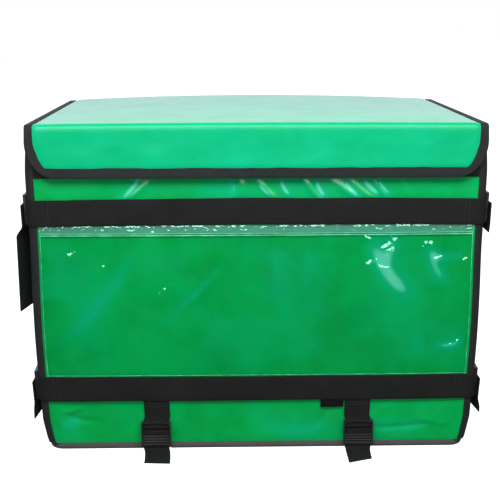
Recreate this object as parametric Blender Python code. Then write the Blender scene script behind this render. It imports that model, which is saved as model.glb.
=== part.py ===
"""Insulated food delivery bag with a lid flap, webbing belts, a clear pocket and tie straps.

Metres, +Z up. X runs to the right seen from the front, and the front faces -Y. The origin lies on
the floor, under the middle of the base.
"""

import math

import bmesh
import bpy
from mathutils import Vector

# Driving sizes of the body
BODY_W = 0.644
BODY_D = 0.405
HEIGHT = 0.4825
WALL_T = 0.010
CORNER_R = 0.011
BASE_T = 0.0105
BASE_CORNER_R = 0.022
BASE_EDGE_R = 0.0035
FRONT_SWELL = 0.0035
SIDE_SWELL = 0.0045
BACK_SWELL = 0.0030

# Lid
LID_OVER = -0.0025
LID_T = 0.006
LID_CREASE_R = 0.003
FLAP_DROP = 0.074
FLAP_CORNER_W = 0.038
FLAP_CORNER_H = 0.060
CROWN_BACK = 0.008
CROWN_FRONT = 0.0015
HINGE_H = 0.032
HINGE_SIDE = 0.004

# Tape, film and tag
TAPE_T = 0.001
LID_TAPE_W = 0.010
FLAP_TAPE_W = 0.0145
CORNER_TAPE_FRONT = 0.001
CORNER_TAPE_SIDE = 0.009
FILM_T = 0.0005
FILM_SIDE_GAP = 0.0025
FILM_TO_BELT = 0.001
TAG_W = 0.034
TAG_DROP = 0.012
TAG_T = 0.0008
TAG_TO_STRAP = 0.0025

# Webbing
WEB_W = 0.038
WEB_T = 0.0014
UPPER_BELT_DROP = 0.1215
LOWER_BELT_Z = 0.0968
TIE_X = 0.1497
STRAP_W = 0.0378
TIE_UNDER = 0.060
TIE_BEND_R = 0.0028
TIE_OFF_FLOOR = 0.0006
CHANNEL_H = 0.0026
CHANNEL_SLACK = 0.001
UNDER_BELT = 0.0038

# Side buckles
SIDE_BUCKLE_H = 0.044
SIDE_BUCKLE_L = 0.034
SIDE_BUCKLE_T = 0.0042
SIDE_BUCKLE_BAR = 0.005
SIDE_BUCKLE_BEHIND = 0.004

# Ladder buckles: the heights of their bars above the floor and how far they stand off the front
LADDER_W = 0.0435
LADDER_RAIL = 0.0022
LADDER_TOP_Z = 0.0445
LADDER_PIN_Z = 0.0378
LADDER_MID_Z = 0.0298
LADDER_TAB_Z = 0.0168
LADDER_TAB_H = 0.017
LADDER_TAB_T = 0.0022
LADDER_BAR_T = 0.0024
LADDER_ARCH = 0.0015
LADDER_BAR_OUT = 0.0032

GAP = 0.0003

# How the outline changes with height: share of the body's height, of its width, of its depth
PROFILE = (
    # height, width, depth
    (0.000, 0.956, 0.985),
    (0.036, 0.969, 0.990),
    (0.094, 0.985, 0.995),
    (0.318, 1.000, 1.000),
    (0.480, 1.003, 1.001),
    (0.650, 1.001, 1.001),
    (0.850, 1.009, 1.000),
    (0.940, 1.002, 1.000),
    (1.000, 0.998, 1.000),
)

# Soft folds of the front: place and reach as shares of half the width and of the height, the tilt
# from level in degrees, and the depth as a share of the wall
FRONT_FOLDS = (
    # across, up, run, spread, tilt, depth
    (-0.84, 0.120, 0.16, 0.090, 58, 0.16),
    (-0.70, 0.090, 0.20, 0.080, -8, -0.12),
    (0.80, 0.110, 0.18, 0.090, -50, 0.14),
    (-0.05, 0.130, 0.26, 0.100, 24, -0.08),
    (-0.62, 0.520, 0.30, 0.140, 40, 0.10),
    (0.42, 0.460, 0.34, 0.150, -30, 0.12),
    (0.86, 0.620, 0.22, 0.090, 70, -0.10),
)

# Free belt ends at the side buckles: the side, their belt, how far they hang below its middle, how
# far they lean in under the buckle, and how far their front edge flares out and droops at the tip
BELT_TAILS = (
    # side, belt, hang, lean, flare in degrees, droop
    ("left", "upper", 0.146, 0.0040, 20, 0.004),
    ("right", "upper", 0.033, 0.0045, 5, 0.004),
    ("left", "lower", 0.048, 0.0040, 8, 0.003),
    ("right", "lower", 0.043, 0.0035, 10, 0.004),
)
TAIL_ABOVE = 0.008
TAIL_FORWARD = 0.007
TAIL_BEND = 0.014

# Tie strap ends on the floor: the side, how far they reach out, how far they drift to the right,
# and the turn of their cut end
TIE_ENDS = (
    # side, reach, drift, turn
    ("left", 0.051, 0.004, -4),
    ("right", 0.048, -0.001, 21),
)

# Worked-out places
LID_W = BODY_W + 2 * LID_OVER
UPPER_BELT_Z = HEIGHT - UPPER_BELT_DROP
HALF_W = BODY_W / 2
HALF_D = BODY_D / 2
FRONT_RUN = HALF_W - CORNER_R
CORNER_RUN = math.pi * CORNER_R / 2
SIDE_RUN = 2 * (HALF_D - CORNER_R)
SIDE_START = FRONT_RUN + CORNER_RUN
SIDE_END = SIDE_START + SIDE_RUN
BACK_START = SIDE_END + CORNER_RUN
AROUND = 2 * (BACK_START + FRONT_RUN)
WALL_Z = BASE_T + GAP
LID_UNDER_Z = HEIGHT - LID_T
RIM_Z = LID_UNDER_Z - TAPE_T - 2 * GAP
FLAP_Z = HEIGHT - FLAP_DROP
TAPE_OUT = (GAP, GAP + TAPE_T)
OVER_TAPE = TAPE_OUT[1] + GAP
BELT_OUT = max(OVER_TAPE, WEB_T + 2.5 * GAP)
SIDES = (("left", -1), ("right", 1))

COLOURS = {
    "green": (0.012, 0.36, 0.135),
    "lid_green": (0.014, 0.56, 0.27),
    "tape": (0.035, 0.038, 0.040),
    "webbing": (0.016, 0.018, 0.018),
    "grey": (0.058, 0.057, 0.057),
    "film": (0.55, 0.72, 0.62),
    "plastic": (0.022, 0.022, 0.022),
}
ROUGHNESS = {"green": 0.35, "lid_green": 0.30, "film": 0.12, "plastic": 0.35}


# Helpers

def start_empty():
    """Remove whatever the file holds."""
    for obj in list(bpy.data.objects):
        bpy.data.objects.remove(obj)


def material(name, look):
    """A plain material for one piece."""
    made = bpy.data.materials.new(name)
    made.use_nodes = True
    shader = made.node_tree.nodes["Principled BSDF"]
    shader.inputs["Base Color"].default_value = (*COLOURS[look], 1.0)
    shader.inputs["Roughness"].default_value = ROUGHNESS.get(look, 0.75)
    shader.inputs["Metallic"].default_value = 0.0
    return made


def add_piece(name, points, faces, look, smooth=True):
    """A named object from points and faces, with its faces turned outwards."""
    mesh = bpy.data.meshes.new(name)
    work = bmesh.new()
    verts = [work.verts.new(p) for p in points]
    for face in faces:
        work.faces.new([verts[i] for i in face])
    bmesh.ops.recalc_face_normals(work, faces=work.faces)
    work.to_mesh(mesh)
    work.free()
    if smooth:
        mesh.shade_smooth()
        mesh.set_sharp_from_angle(angle=math.radians(40))
    mesh.materials.append(material(name, look))
    obj = bpy.data.objects.new(name, mesh)
    bpy.context.collection.objects.link(obj)
    return obj


def ease(value):
    """A smooth step from 0 to 1."""
    value = min(max(value, 0.0), 1.0)
    return value * value * (3 - 2 * value)


def curve_through(rows, at):
    """The row of a table at a place between its rows, along a smooth curve through them."""
    last = len(rows) - 1
    i = max(k for k in range(last) if k == 0 or rows[k][0] <= at)
    before, low, high, after = (rows[min(max(k, 0), last)] for k in (i - 1, i, i + 1, i + 2))
    t = min(max((at - low[0]) / (high[0] - low[0]), 0.0), 1.0)
    out = []
    for a, b, c, d in zip(before[1:], low[1:], high[1:], after[1:]):
        out.append(b + 0.5 * t * (c - a + t * (2 * a - 5 * b + 4 * c - d + t * (3 * (b - c) + d - a))))
    return out


def spread(start, end, count):
    """Evenly spaced values, both ends included."""
    return [start + (end - start) * i / count for i in range(count + 1)]


def between(values, start, end):
    """The shared stations that lie between two ends, with the ends."""
    least = 0.0008
    inside = [v for v in values if start + least < v < end - least]
    return [start, *inside, end]


def slab(name, us, vs, place, low, high, look):
    """A closed sheet over a grid, between two heights of its surface."""
    rows, cols = len(us), len(vs)
    points = [place(u, v, out) for out in (low, high) for u in us for v in vs]

    def at(layer, i, j):
        return layer * rows * cols + i * cols + j

    faces = []
    for layer in (0, 1):
        for i in range(rows - 1):
            for j in range(cols - 1):
                faces.append((at(layer, i, j), at(layer, i + 1, j), at(layer, i + 1, j + 1),
                              at(layer, i, j + 1)))
    rim = [(i, 0) for i in range(rows)]
    rim += [(rows - 1, j) for j in range(1, cols)]
    rim += [(i, cols - 1) for i in range(rows - 2, -1, -1)]
    rim += [(0, j) for j in range(cols - 2, 0, -1)]
    for k, here in enumerate(rim):
        after = rim[(k + 1) % len(rim)]
        faces.append((at(0, *here), at(0, *after), at(1, *after), at(1, *here)))
    return add_piece(name, points, faces, look)


def sweep(name, rings, look):
    """A closed solid through rings of points, with flat ends."""
    count = len(rings[0])
    points = [p for ring in rings for p in ring]
    faces = []
    for i in range(len(rings) - 1):
        for j in range(count):
            k = (j + 1) % count
            faces.append((i * count + j, i * count + k, (i + 1) * count + k, (i + 1) * count + j))
    faces.append(tuple(range(count)))
    faces.append(tuple(range((len(rings) - 1) * count, len(rings) * count)))
    return add_piece(name, points, faces, look)


def ribbon(name, centres, widths, wide, look):
    """Webbing along a line of centres, each with the direction of its width."""
    rings = []
    for i, (centre, across) in enumerate(zip(centres, widths)):
        before = centres[max(i - 1, 0)]
        after = centres[min(i + 1, len(centres) - 1)]
        along = (after - before).normalized()
        side = (across - along * across.dot(along)).normalized()
        up = along.cross(side).normalized()
        side = side * (wide / 2)
        up = up * (WEB_T / 2)
        rings.append([centre - side - up, centre + side - up, centre + side + up, centre - side + up])
    return sweep(name, rings, look)


# The body's outer surface

def outline(a):
    """The point and outward direction at a distance around the body, from the middle of the front."""
    b = (a + AROUND / 2) % AROUND - AROUND / 2
    sign = -1 if b < 0 else 1
    b = abs(b)
    if b <= FRONT_RUN:
        x, y, nx, ny = b, -HALF_D, 0.0, -1.0
    elif b <= SIDE_START:
        turn = (b - FRONT_RUN) / CORNER_R
        nx, ny = math.sin(turn), -math.cos(turn)
        x, y = FRONT_RUN + CORNER_R * nx, -HALF_D + CORNER_R + CORNER_R * ny
    elif b <= SIDE_END:
        x, y, nx, ny = HALF_W, -HALF_D + CORNER_R + b - SIDE_START, 1.0, 0.0
    elif b <= BACK_START:
        turn = (b - SIDE_END) / CORNER_R
        nx, ny = math.cos(turn), math.sin(turn)
        x, y = FRONT_RUN + CORNER_R * nx, HALF_D - CORNER_R + CORNER_R * ny
    else:
        x, y, nx, ny = FRONT_RUN - (b - BACK_START), HALF_D, 0.0, 1.0
    return sign * x, y, sign * nx, ny


def folds(x, z):
    """How far the folds push the front out at a place."""
    total = 0.0
    for across, up, run, wide, tilt, depth in FRONT_FOLDS:
        dx, dz = x / HALF_W - across, (z / HEIGHT - up) * HEIGHT / HALF_W
        c, s = math.cos(math.radians(tilt)), math.sin(math.radians(tilt))
        along, off = (dx * c + dz * s) / run, (dz * c - dx * s) / wide
        total += depth * WALL_T * math.exp(-along * along - off * off)
    return total


def swell(x, y, nx, ny, z):
    """How far the padded walls swell between the base and the flap."""
    rise = math.sin(math.pi * min(max((z - BASE_T) / (FLAP_Z - BASE_T), 0.0), 1.0))
    wide = max(1 - (x / FRONT_RUN) ** 2, 0.0)
    deep = max(1 - (y / (HALF_D - CORNER_R)) ** 2, 0.0)
    out = 0.0
    if ny < -0.999:
        out = FRONT_SWELL * rise * wide + folds(x, z) * rise ** 0.5 * min(1.0, 6 * wide)
    elif ny > 0.999:
        out = BACK_SWELL * rise * wide
    elif abs(nx) > 0.999:
        out = SIDE_SWELL * rise * deep
    return out


def skin(a, z, out):
    """The point at a distance around the body, at a height, and a distance outside its surface."""
    x, y, nx, ny = outline(a)
    wide, deep = curve_through(PROFILE, z / HEIGHT)
    out += swell(x, y, nx, ny, z)
    return Vector((x * wide + nx * out, y * deep + ny * out, z))


def crown(x, y):
    """How far the lid's top rises above its side edges."""
    back = min(max((y + HALF_D) / BODY_D, 0.0), 1.0)
    return (CROWN_FRONT + (CROWN_BACK - CROWN_FRONT) * back) * max(1 - (2 * x / LID_W) ** 2, 0.0)


def corner_stations(start):
    """The stations of one rounded corner."""
    return spread(start, start + CORNER_RUN, 3)


FRONT_STATIONS = [k * FRONT_RUN / 12 for k in range(-12, 13)]
SIDE_STATIONS = spread(SIDE_START, SIDE_END, 6)
AROUND_RIGHT = FRONT_STATIONS[13:] + corner_stations(FRONT_RUN)[1:] + SIDE_STATIONS[1:]
AROUND_RIGHT += corner_stations(SIDE_END)[1:] + [BACK_START + k * FRONT_RUN / 6 for k in range(1, 7)]
AROUND_LEFT = [AROUND - a for a in AROUND_RIGHT]
STATIONS = sorted({round(a, 7) for a in [0.0] + AROUND_RIGHT + AROUND_LEFT + [-a for a in AROUND_RIGHT]})
HEIGHTS = spread(WALL_Z, 0.12 * HEIGHT, 3) + spread(0.19 * HEIGHT, FLAP_Z, 8) + [RIM_Z]


def wall(name, start, end, look):
    """A padded wall between two places around the body, from the base up to the lid."""
    shares = [(z - WALL_Z) / (RIM_Z - WALL_Z) for z in HEIGHTS]

    def place(a, share, out):
        x, y, _, _ = outline(a)
        top = RIM_Z + crown(x, y)
        point = skin(a, WALL_Z + share * (RIM_Z - WALL_Z), out)
        point.z = WALL_Z + share * (top - WALL_Z)
        return point

    return slab(name, between(STATIONS, start, end), shares, place, -WALL_T, 0.0, look)


def patch(name, start, end, low_z, high_z, low, high, look):
    """A thin piece that lies on the body between two places and two heights."""
    return slab(name, between(STATIONS, start, end), between(HEIGHTS, low_z, high_z), skin, low, high, look)


# Body pieces

def make_walls():
    """The four padded walls; the front and back turn round the corners to meet the sides."""
    wall("front_panel", -SIDE_START, SIDE_START, "green")
    wall("side_panel_right", SIDE_START + GAP, SIDE_END - GAP, "green")
    wall("back_panel", SIDE_END, AROUND - SIDE_END, "green")
    wall("side_panel_left", AROUND - SIDE_END + GAP, AROUND - SIDE_START - GAP, "green")


def rounded_ring(half_w, half_d, radius, z):
    """A rounded rectangle of points at one height."""
    points = []
    for cx, cy, first in ((1, 1, 0), (-1, 1, 90), (-1, -1, 180), (1, -1, 270)):
        for step in range(5):
            turn = math.radians(first + 22.5 * step)
            x = cx * (half_w - radius) + radius * math.cos(turn)
            y = cy * (half_d - radius) + radius * math.sin(turn)
            points.append((x, y, z))
    return points


def make_base():
    """The padded bottom, with a rounded lower edge and two shallow channels for the tie straps."""
    wide, deep = curve_through(PROFILE, BASE_T / HEIGHT)
    rings = []
    for step in range(5):
        turn = math.radians(22.5 * step)
        inset = BASE_EDGE_R * (1 - math.sin(turn))
        z = BASE_EDGE_R * (1 - math.cos(turn))
        rings.append(rounded_ring(HALF_W * wide - inset, HALF_D * deep - inset, BASE_CORNER_R, z))
    rings.append(rounded_ring(HALF_W * wide, HALF_D * deep, BASE_CORNER_R, BASE_T))
    base = sweep("base_panel", rings, "grey")
    for side, sign in SIDES:
        half = STRAP_W / 2 + CHANNEL_SLACK
        front = -HALF_D * deep
        past = BASE_EDGE_R
        channel = add_box(f"channel_{side}", (sign * TIE_X - half, front - past, -past),
                          (sign * TIE_X + half, front + TIE_UNDER + past, CHANNEL_H))
        cut(base, channel, "DIFFERENCE")


def add_box(name, low, high):
    """A plain box between two corners, used to cut or to add."""
    (x0, y0, z0), (x1, y1, z1) = low, high
    points = [(x, y, z) for x in (x0, x1) for y in (y0, y1) for z in (z0, z1)]
    faces = ((0, 1, 3, 2), (4, 6, 7, 5), (0, 4, 5, 1), (2, 3, 7, 6), (0, 2, 6, 4), (1, 5, 7, 3))
    return add_piece(name, points, faces, "plastic", smooth=False)


def cut(obj, other, operation):
    """Cut another shape away from a piece, or join it on, and hide the other shape."""
    step = obj.modifiers.new(other.name, "BOOLEAN")
    step.operation = operation
    step.solver = "EXACT"
    step.object = other
    other.hide_render = True
    other.display_type = "WIRE"


# Lid

LID_BACK_Y = HALF_D
LID_FRONT_Y = -HALF_D - OVER_TAPE - TAPE_T - GAP
LID_TOP_RUN = LID_BACK_Y - LID_FRONT_Y - LID_CREASE_R
CREASE_RUN = math.pi / 2 * LID_CREASE_R
FLAP_RUN = LID_UNDER_Z - LID_CREASE_R - FLAP_Z
LID_RUN = LID_TOP_RUN + CREASE_RUN + FLAP_RUN


def bend(s, t, out):
    """A point of the lid: s across, t from the back edge over the crease and down the flap."""
    centre_y, centre_z = LID_FRONT_Y + LID_CREASE_R, LID_UNDER_Z - LID_CREASE_R
    if t <= LID_TOP_RUN:
        y = LID_BACK_Y - t
        return Vector((s, y, LID_UNDER_Z + out + crown(s, y)))
    turn = min((t - LID_TOP_RUN) / LID_CREASE_R, math.pi / 2)
    down = max(t - LID_TOP_RUN - CREASE_RUN, 0.0)
    reach = LID_CREASE_R + out
    rise = crown(s, -HALF_D) * (1 - ease(down / FLAP_RUN))
    return Vector((s, centre_y - reach * math.sin(turn), centre_z + reach * math.cos(turn) - down + rise))


def lid_half(t):
    """Half the lid's width at a place along it, with round lower corners on the flap."""
    rest = (LID_RUN - t) / FLAP_CORNER_H
    if rest >= 1:
        return LID_W / 2
    return LID_W / 2 - FLAP_CORNER_W * (1 - math.sqrt(max(1 - (1 - rest) ** 2, 0.0)))


def corner_places():
    """The stations along the lid through the flap's round corners, closer towards the end."""
    return [LID_RUN - FLAP_CORNER_H * (1 - math.sin(math.radians(15 * k))) for k in range(7)]


def make_lid():
    """The lid sheet."""
    places = spread(0, LID_TOP_RUN, 5) + spread(LID_TOP_RUN, LID_TOP_RUN + CREASE_RUN, 4)[1:]
    places += [t for t in corner_places() if t > places[-1] + 0.001]

    def place(share, t, out):
        return bend(share * lid_half(t), t, out)

    slab("lid_panel", spread(-1, 1, 12), places, place, 0.0, LID_T, "lid_green")


def lid_edge():
    """Half the lid's edge, from its back corner to the middle of the flap: place and way inwards."""
    places = spread(0, LID_TOP_RUN, 5) + spread(LID_TOP_RUN, LID_TOP_RUN + CREASE_RUN, 4)[1:]
    edge = [(LID_W / 2, t, -1.0, 0.0) for t in places if t < LID_RUN - FLAP_CORNER_H]
    for k in range(13):
        turn = math.radians(7.5 * k)
        s = LID_W / 2 - FLAP_CORNER_W * (1 - math.cos(turn))
        t = LID_RUN - FLAP_CORNER_H * (1 - math.sin(turn))
        out_s, out_t = math.cos(turn) / FLAP_CORNER_W, math.sin(turn) / FLAP_CORNER_H
        size = math.hypot(out_s, out_t)
        if not edge or t > edge[-1][1]:
            edge.append((s, t, -out_s / size, -out_t / size))
    last = LID_W / 2 - FLAP_CORNER_W
    edge += [(last * (1 - k / 6), LID_RUN, 0.0, -1.0) for k in range(1, 7)]
    return edge


def make_lid_binding():
    """Tape folded over the lid's edge, one run from back corner to back corner."""
    right = lid_edge()
    left = [(-s, t, -ns, nt) for s, t, ns, nt in right[:-1]]
    rings = []
    for s, t, ns, nt in left + right[::-1]:
        wide = LID_TAPE_W + (FLAP_TAPE_W - LID_TAPE_W) * ease((t - LID_TOP_RUN) / (LID_RUN - LID_TOP_RUN))
        outer, top = GAP + TAPE_T, LID_T + GAP
        section = ((wide, top + TAPE_T), (-outer, top + TAPE_T), (-outer, -outer), (wide, -outer),
                   (wide, -GAP), (-GAP, -GAP), (-GAP, top), (wide, top))
        rings.append([bend(s + ns * i, t + nt * i, out) for i, out in section])
    sweep("lid_binding", rings, "tape")


def make_hinge():
    """The cloth strip that joins the lid's back edge to the back wall."""
    start = BACK_START + HINGE_SIDE

    def place(a, share, out):
        x, y, _, _ = outline(a)
        top = LID_UNDER_Z + 0.5 * LID_T + crown(x, y)
        return skin(a, HEIGHT - HINGE_H, out).lerp(skin(a, HEIGHT, out) + Vector((0, 0, top - HEIGHT)), share)

    slab("lid_hinge", between(STATIONS, start, AROUND - start), (0.0, 0.5, 1.0), place, *TAPE_OUT, "green")


# Tape, film, belts and tag

def make_corner_binding():
    """Tape on the four upright corners."""
    front, back = SIDE_START + CORNER_TAPE_SIDE, SIDE_END - CORNER_TAPE_SIDE
    top = LID_UNDER_Z - LID_CREASE_R - GAP
    for side, sign in SIDES:
        ends = sorted((sign * (FRONT_RUN - CORNER_TAPE_FRONT), sign * front))
        patch(f"corner_binding_front_{side}", *ends, WALL_Z, top, *TAPE_OUT, "tape")
        ends = (back, BACK_START + CORNER_TAPE_FRONT)
        if sign < 0:
            ends = (AROUND - ends[1], AROUND - ends[0])
        patch(f"corner_binding_rear_{side}", *ends, WALL_Z, top, *TAPE_OUT, "tape")


def make_pocket():
    """The clear film, from behind the lower belt up to the lower edge of the upper belt."""
    half = FRONT_RUN - CORNER_TAPE_FRONT - FILM_SIDE_GAP
    low, high = LOWER_BELT_Z + UNDER_BELT, UPPER_BELT_Z - WEB_W / 2 - FILM_TO_BELT
    patch("clear_pocket", -half, half, low, high, GAP, GAP + FILM_T, "film")


def make_belts():
    """The webbing round the body: a front and a rear run on each level, meeting at the side buckles."""
    meet = SIDE_START + SIDE_BUCKLE_BEHIND + SIDE_BUCKLE_L / 2
    for level, z in (("upper", UPPER_BELT_Z), ("lower", LOWER_BELT_Z)):
        low, high = z - WEB_W / 2, z + WEB_W / 2
        out = (BELT_OUT, BELT_OUT + WEB_T)
        patch(f"{level}_belt_front", -meet + GAP, meet - GAP, low, high, *out, "webbing")
        patch(f"{level}_belt_rear", meet + GAP, AROUND - meet - GAP, low, high, *out, "webbing")


BUCKLE_OUT = BELT_OUT + WEB_T + GAP


def make_side_buckles():
    """Flat ladder frames over the ends of the belts, right behind the front corners."""
    start = SIDE_START + SIDE_BUCKLE_BEHIND
    cuts = [start, start + SIDE_BUCKLE_BAR]
    cuts += [start + (SIDE_BUCKLE_L - SIDE_BUCKLE_BAR) / 2, start + (SIDE_BUCKLE_L + SIDE_BUCKLE_BAR) / 2]
    cuts += [start + SIDE_BUCKLE_L - SIDE_BUCKLE_BAR, start + SIDE_BUCKLE_L]
    rail = (SIDE_BUCKLE_H - WEB_W) / 2
    for level, z in (("upper", UPPER_BELT_Z), ("lower", LOWER_BELT_Z)):
        half = SIDE_BUCKLE_H / 2
        levels = [z - half, z - half + rail, z + half - rail, z + half]
        for side, sign in SIDES:
            places = [sign * a for a in cuts]
            frame_plate(f"{level}_buckle_{side}", places, levels)


def frame_plate(name, places, levels):
    """A flat frame with two slots, standing on the belt."""
    out = (BUCKLE_OUT, BUCKLE_OUT + SIDE_BUCKLE_T)
    rows, cols = len(places), len(levels)
    points = [skin(a, z, o) for o in out for a in places for z in levels]

    def solid(i, j):
        return 0 <= i < rows - 1 and 0 <= j < cols - 1 and not (i in (1, 3) and j == 1)

    def at(layer, i, j):
        return layer * rows * cols + i * cols + j

    faces = []
    for i in range(-1, rows):
        for j in range(-1, cols):
            if solid(i, j):
                for layer in (0, 1):
                    faces.append((at(layer, i, j), at(layer, i + 1, j), at(layer, i + 1, j + 1),
                                  at(layer, i, j + 1)))
            if solid(i, j) != solid(i + 1, j):
                faces.append((at(0, i + 1, j), at(0, i + 1, j + 1), at(1, i + 1, j + 1), at(1, i + 1, j)))
            if solid(i, j) != solid(i, j + 1):
                faces.append((at(0, i, j + 1), at(0, i + 1, j + 1), at(1, i + 1, j + 1), at(1, i, j + 1)))
    return add_piece(name, points, faces, "plastic")


def make_belt_tails():
    """Free webbing ends: each lies on its buckle and hangs down, its front edge turned outwards."""
    heights = {"upper": UPPER_BELT_Z, "lower": LOWER_BELT_Z}
    over = BUCKLE_OUT + SIDE_BUCKLE_T + 2 * GAP + WEB_T / 2
    middle = SIDE_START + SIDE_BUCKLE_BEHIND + SIDE_BUCKLE_L / 2 - TAIL_FORWARD
    for side, level, hang, lean, flare, droop in BELT_TAILS:
        sign = dict(SIDES)[side]
        belt_z = heights[level]
        low, high = belt_z - SIDE_BUCKLE_H / 2, belt_z + SIDE_BUCKLE_H / 2
        low_x, high_x = (skin(middle + WEB_W / 2, z, over).x for z in (low, high))
        y = skin(middle, belt_z, over).y
        rings = []
        for z in spread(belt_z + TAIL_ABOVE, belt_z - hang, 14):
            free = ease((low - z) / TAIL_BEND)
            turn = math.radians(flare) * free
            rest_x = low_x + (high_x - low_x) * max(z - low, 0) / (high - low)
            out = rest_x - lean * free + WEB_W / 2 * math.sin(turn)
            across = Vector((sign * math.sin(turn), -math.cos(turn), -droop * free / WEB_W)) * (WEB_W / 2)
            thick = Vector((sign * math.cos(turn), math.sin(turn), 0)) * (WEB_T / 2)
            centre = Vector((sign * out, y, z))
            rings.append([centre - across - thick, centre + across - thick,
                          centre + across + thick, centre - across + thick])
        sweep(f"{level}_tail_{side}", rings, "webbing")


# Tie straps and their buckles

def front_place(x, out, z):
    """A point in front of the foot of the bag, at a distance off its face beside the buckles."""
    return Vector((x, skin(TIE_X, LADDER_TOP_Z + LADDER_BAR_T, out).y, z))


def make_anchors():
    """Short upright webbing from behind the lower belt down and round the buckle's pin."""
    turn = LADDER_BAR_T / 2 + GAP + WEB_T / 2
    lie = GAP + WEB_T / 2
    for side, sign in SIDES:
        x = sign * TIE_X
        high, low = LOWER_BELT_Z - GAP, LADDER_TOP_Z + 0.008
        edges = [[skin(x + way * STRAP_W / 2, z, lie) for way in (-1, 1)] for z in spread(high, low, 4)]
        line = [(left + right) / 2 for left, right in edges]
        widths = [right - left for left, right in edges]
        bends = [(LADDER_BAR_OUT + turn * math.cos(a), LADDER_PIN_Z - turn * math.sin(a))
                 for a in (math.radians(30 * step) for step in range(-1, 7))]
        line.append(front_place(x, LADDER_BAR_OUT * 0.7, LADDER_TOP_Z + 0.001))
        line += [front_place(x, out, z) for out, z in bends]
        widths += [Vector((1, 0, 0))] * (len(line) - len(widths))
        ribbon(f"strap_anchor_{side}", line, widths, STRAP_W, "webbing")


def make_ladder_buckles():
    """Ladder buckles: two rails with an arched top bar, a pin, a middle bar and a ridged tab."""
    half = LADDER_W / 2
    inner = half - LADDER_RAIL
    bar = LADDER_BAR_T / 2
    tab_out = LADDER_BAR_OUT + bar + 2 * GAP + WEB_T + 0.0004
    rail_low, rail_high = LADDER_TAB_Z - LADDER_TAB_H / 2, LADDER_TOP_Z + bar
    for side, sign in SIDES:
        x = sign * TIE_X
        buckle = None
        for edge in (-1, 1):
            xs = sorted((x + edge * inner, x + edge * half))
            low = front_place(xs[0], tab_out + LADDER_TAB_T, rail_low)
            high = front_place(xs[1], LADDER_BAR_OUT - bar, rail_high)
            rail = add_box(f"ladder_rail_{side}_{edge}", low, high)
            if buckle is None:
                rail.name = f"ladder_buckle_{side}"
                buckle = rail
            else:
                cut(buckle, rail, "UNION")
        reach = half - LADDER_RAIL / 2
        for name, z in (("pin", LADDER_PIN_Z), ("mid", LADDER_MID_Z)):
            cut(buckle, round_bar(f"ladder_{name}_{side}", x, reach, z, bar * 0.98), "UNION")
        low = front_place(x - reach, tab_out + LADDER_TAB_T * 0.96, LADDER_TAB_Z - LADDER_TAB_H * 0.49)
        high = front_place(x + reach, tab_out, LADDER_TAB_Z + LADDER_TAB_H * 0.49)
        cut(buckle, add_box(f"ladder_tab_{side}", low, high), "UNION")
        cut(buckle, arched_bar(f"ladder_top_{side}", x, reach, tab_out, bar), "UNION")


def round_bar(name, x, reach, z, radius):
    """A round bar across the buckle."""
    rings = []
    for end in (x - reach, x + reach):
        rings.append([front_place(end, LADDER_BAR_OUT + radius * math.cos(a), z + radius * math.sin(a))
                      for a in (math.radians(36 * step) for step in range(10))])
    return sweep(name, rings, "plastic")


def arched_bar(name, x, reach, out, bar):
    """The top bar, which rises a little in the middle."""
    rings = []
    for share in spread(-1, 1, 6):
        z = LADDER_TOP_Z - bar / 2 + LADDER_ARCH * (1 - share * share)
        corners = ((0, -bar / 2), (LADDER_TAB_T * 0.9, -bar / 2), (LADDER_TAB_T * 0.9, bar), (0, bar))
        rings.append([front_place(x + share * reach, out + o, z + up) for o, up in corners])
    return sweep(name, rings, "plastic")


def make_tie_straps():
    """Webbing from under the base, up behind the buckle, over its middle bar and out on the floor."""
    wrap = LADDER_BAR_T / 2 + GAP + WEB_T / 2
    floor = TIE_OFF_FLOOR + WEB_T / 2
    behind = LADDER_BAR_OUT - wrap
    ahead = LADDER_BAR_OUT + wrap
    tab_low = LADDER_TAB_Z - LADDER_TAB_H / 2
    for side, reach, drift, turn in TIE_ENDS:
        x = dict(SIDES)[side] * TIE_X
        turn_out = behind - TIE_BEND_R
        route = [(-TIE_UNDER, floor), (-0.5 * TIE_UNDER, floor), (turn_out, floor)]
        route += [(turn_out + TIE_BEND_R * math.sin(a), floor + TIE_BEND_R * (1 - math.cos(a)))
                  for a in (math.pi / 6, math.pi / 3, math.pi / 2)]
        route += [(behind, LADDER_TAB_Z), (behind, LADDER_MID_Z)]
        route += [(LADDER_BAR_OUT - wrap * math.cos(a), LADDER_MID_Z + wrap * math.sin(a))
                  for a in (math.radians(30 * step) for step in range(1, 7))]
        route += [(ahead, LADDER_TAB_Z), (ahead, tab_low - 0.0005)]
        tail_start = len(route)
        route += [(ahead + 0.0012, tab_low - 0.0032), (ahead + 0.0045, 0.0042)]
        route += [(0.25 * reach, 0.0026), (0.45 * reach, floor + 0.0003)]
        route += [(0.72 * reach, floor), (reach, floor)]
        line, widths = [], []
        for k, (out, z) in enumerate(route):
            share = max(k - tail_start + 1, 0) / (len(route) - tail_start)
            line.append(front_place(x + drift * ease(share), out, z))
            angle = math.radians(turn) * ease(share)
            widths.append(Vector((math.cos(angle), math.sin(angle), 0)))
        tie_ribbon(f"tie_strap_{side}", line, widths)


def tie_ribbon(name, line, widths):
    """A ribbon whose width keeps its own direction, so that its end can be cut at a slant."""
    rings = []
    for i, (centre, across) in enumerate(zip(line, widths)):
        along = (line[min(i + 1, len(line) - 1)] - line[max(i - 1, 0)]).normalized()
        up = Vector((1, 0, 0)).cross(along).normalized() * (WEB_T / 2)
        side = across * (STRAP_W / 2)
        rings.append([centre - side - up, centre + side - up, centre + side + up, centre - side + up])
    return sweep(name, rings, "webbing")


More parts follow.
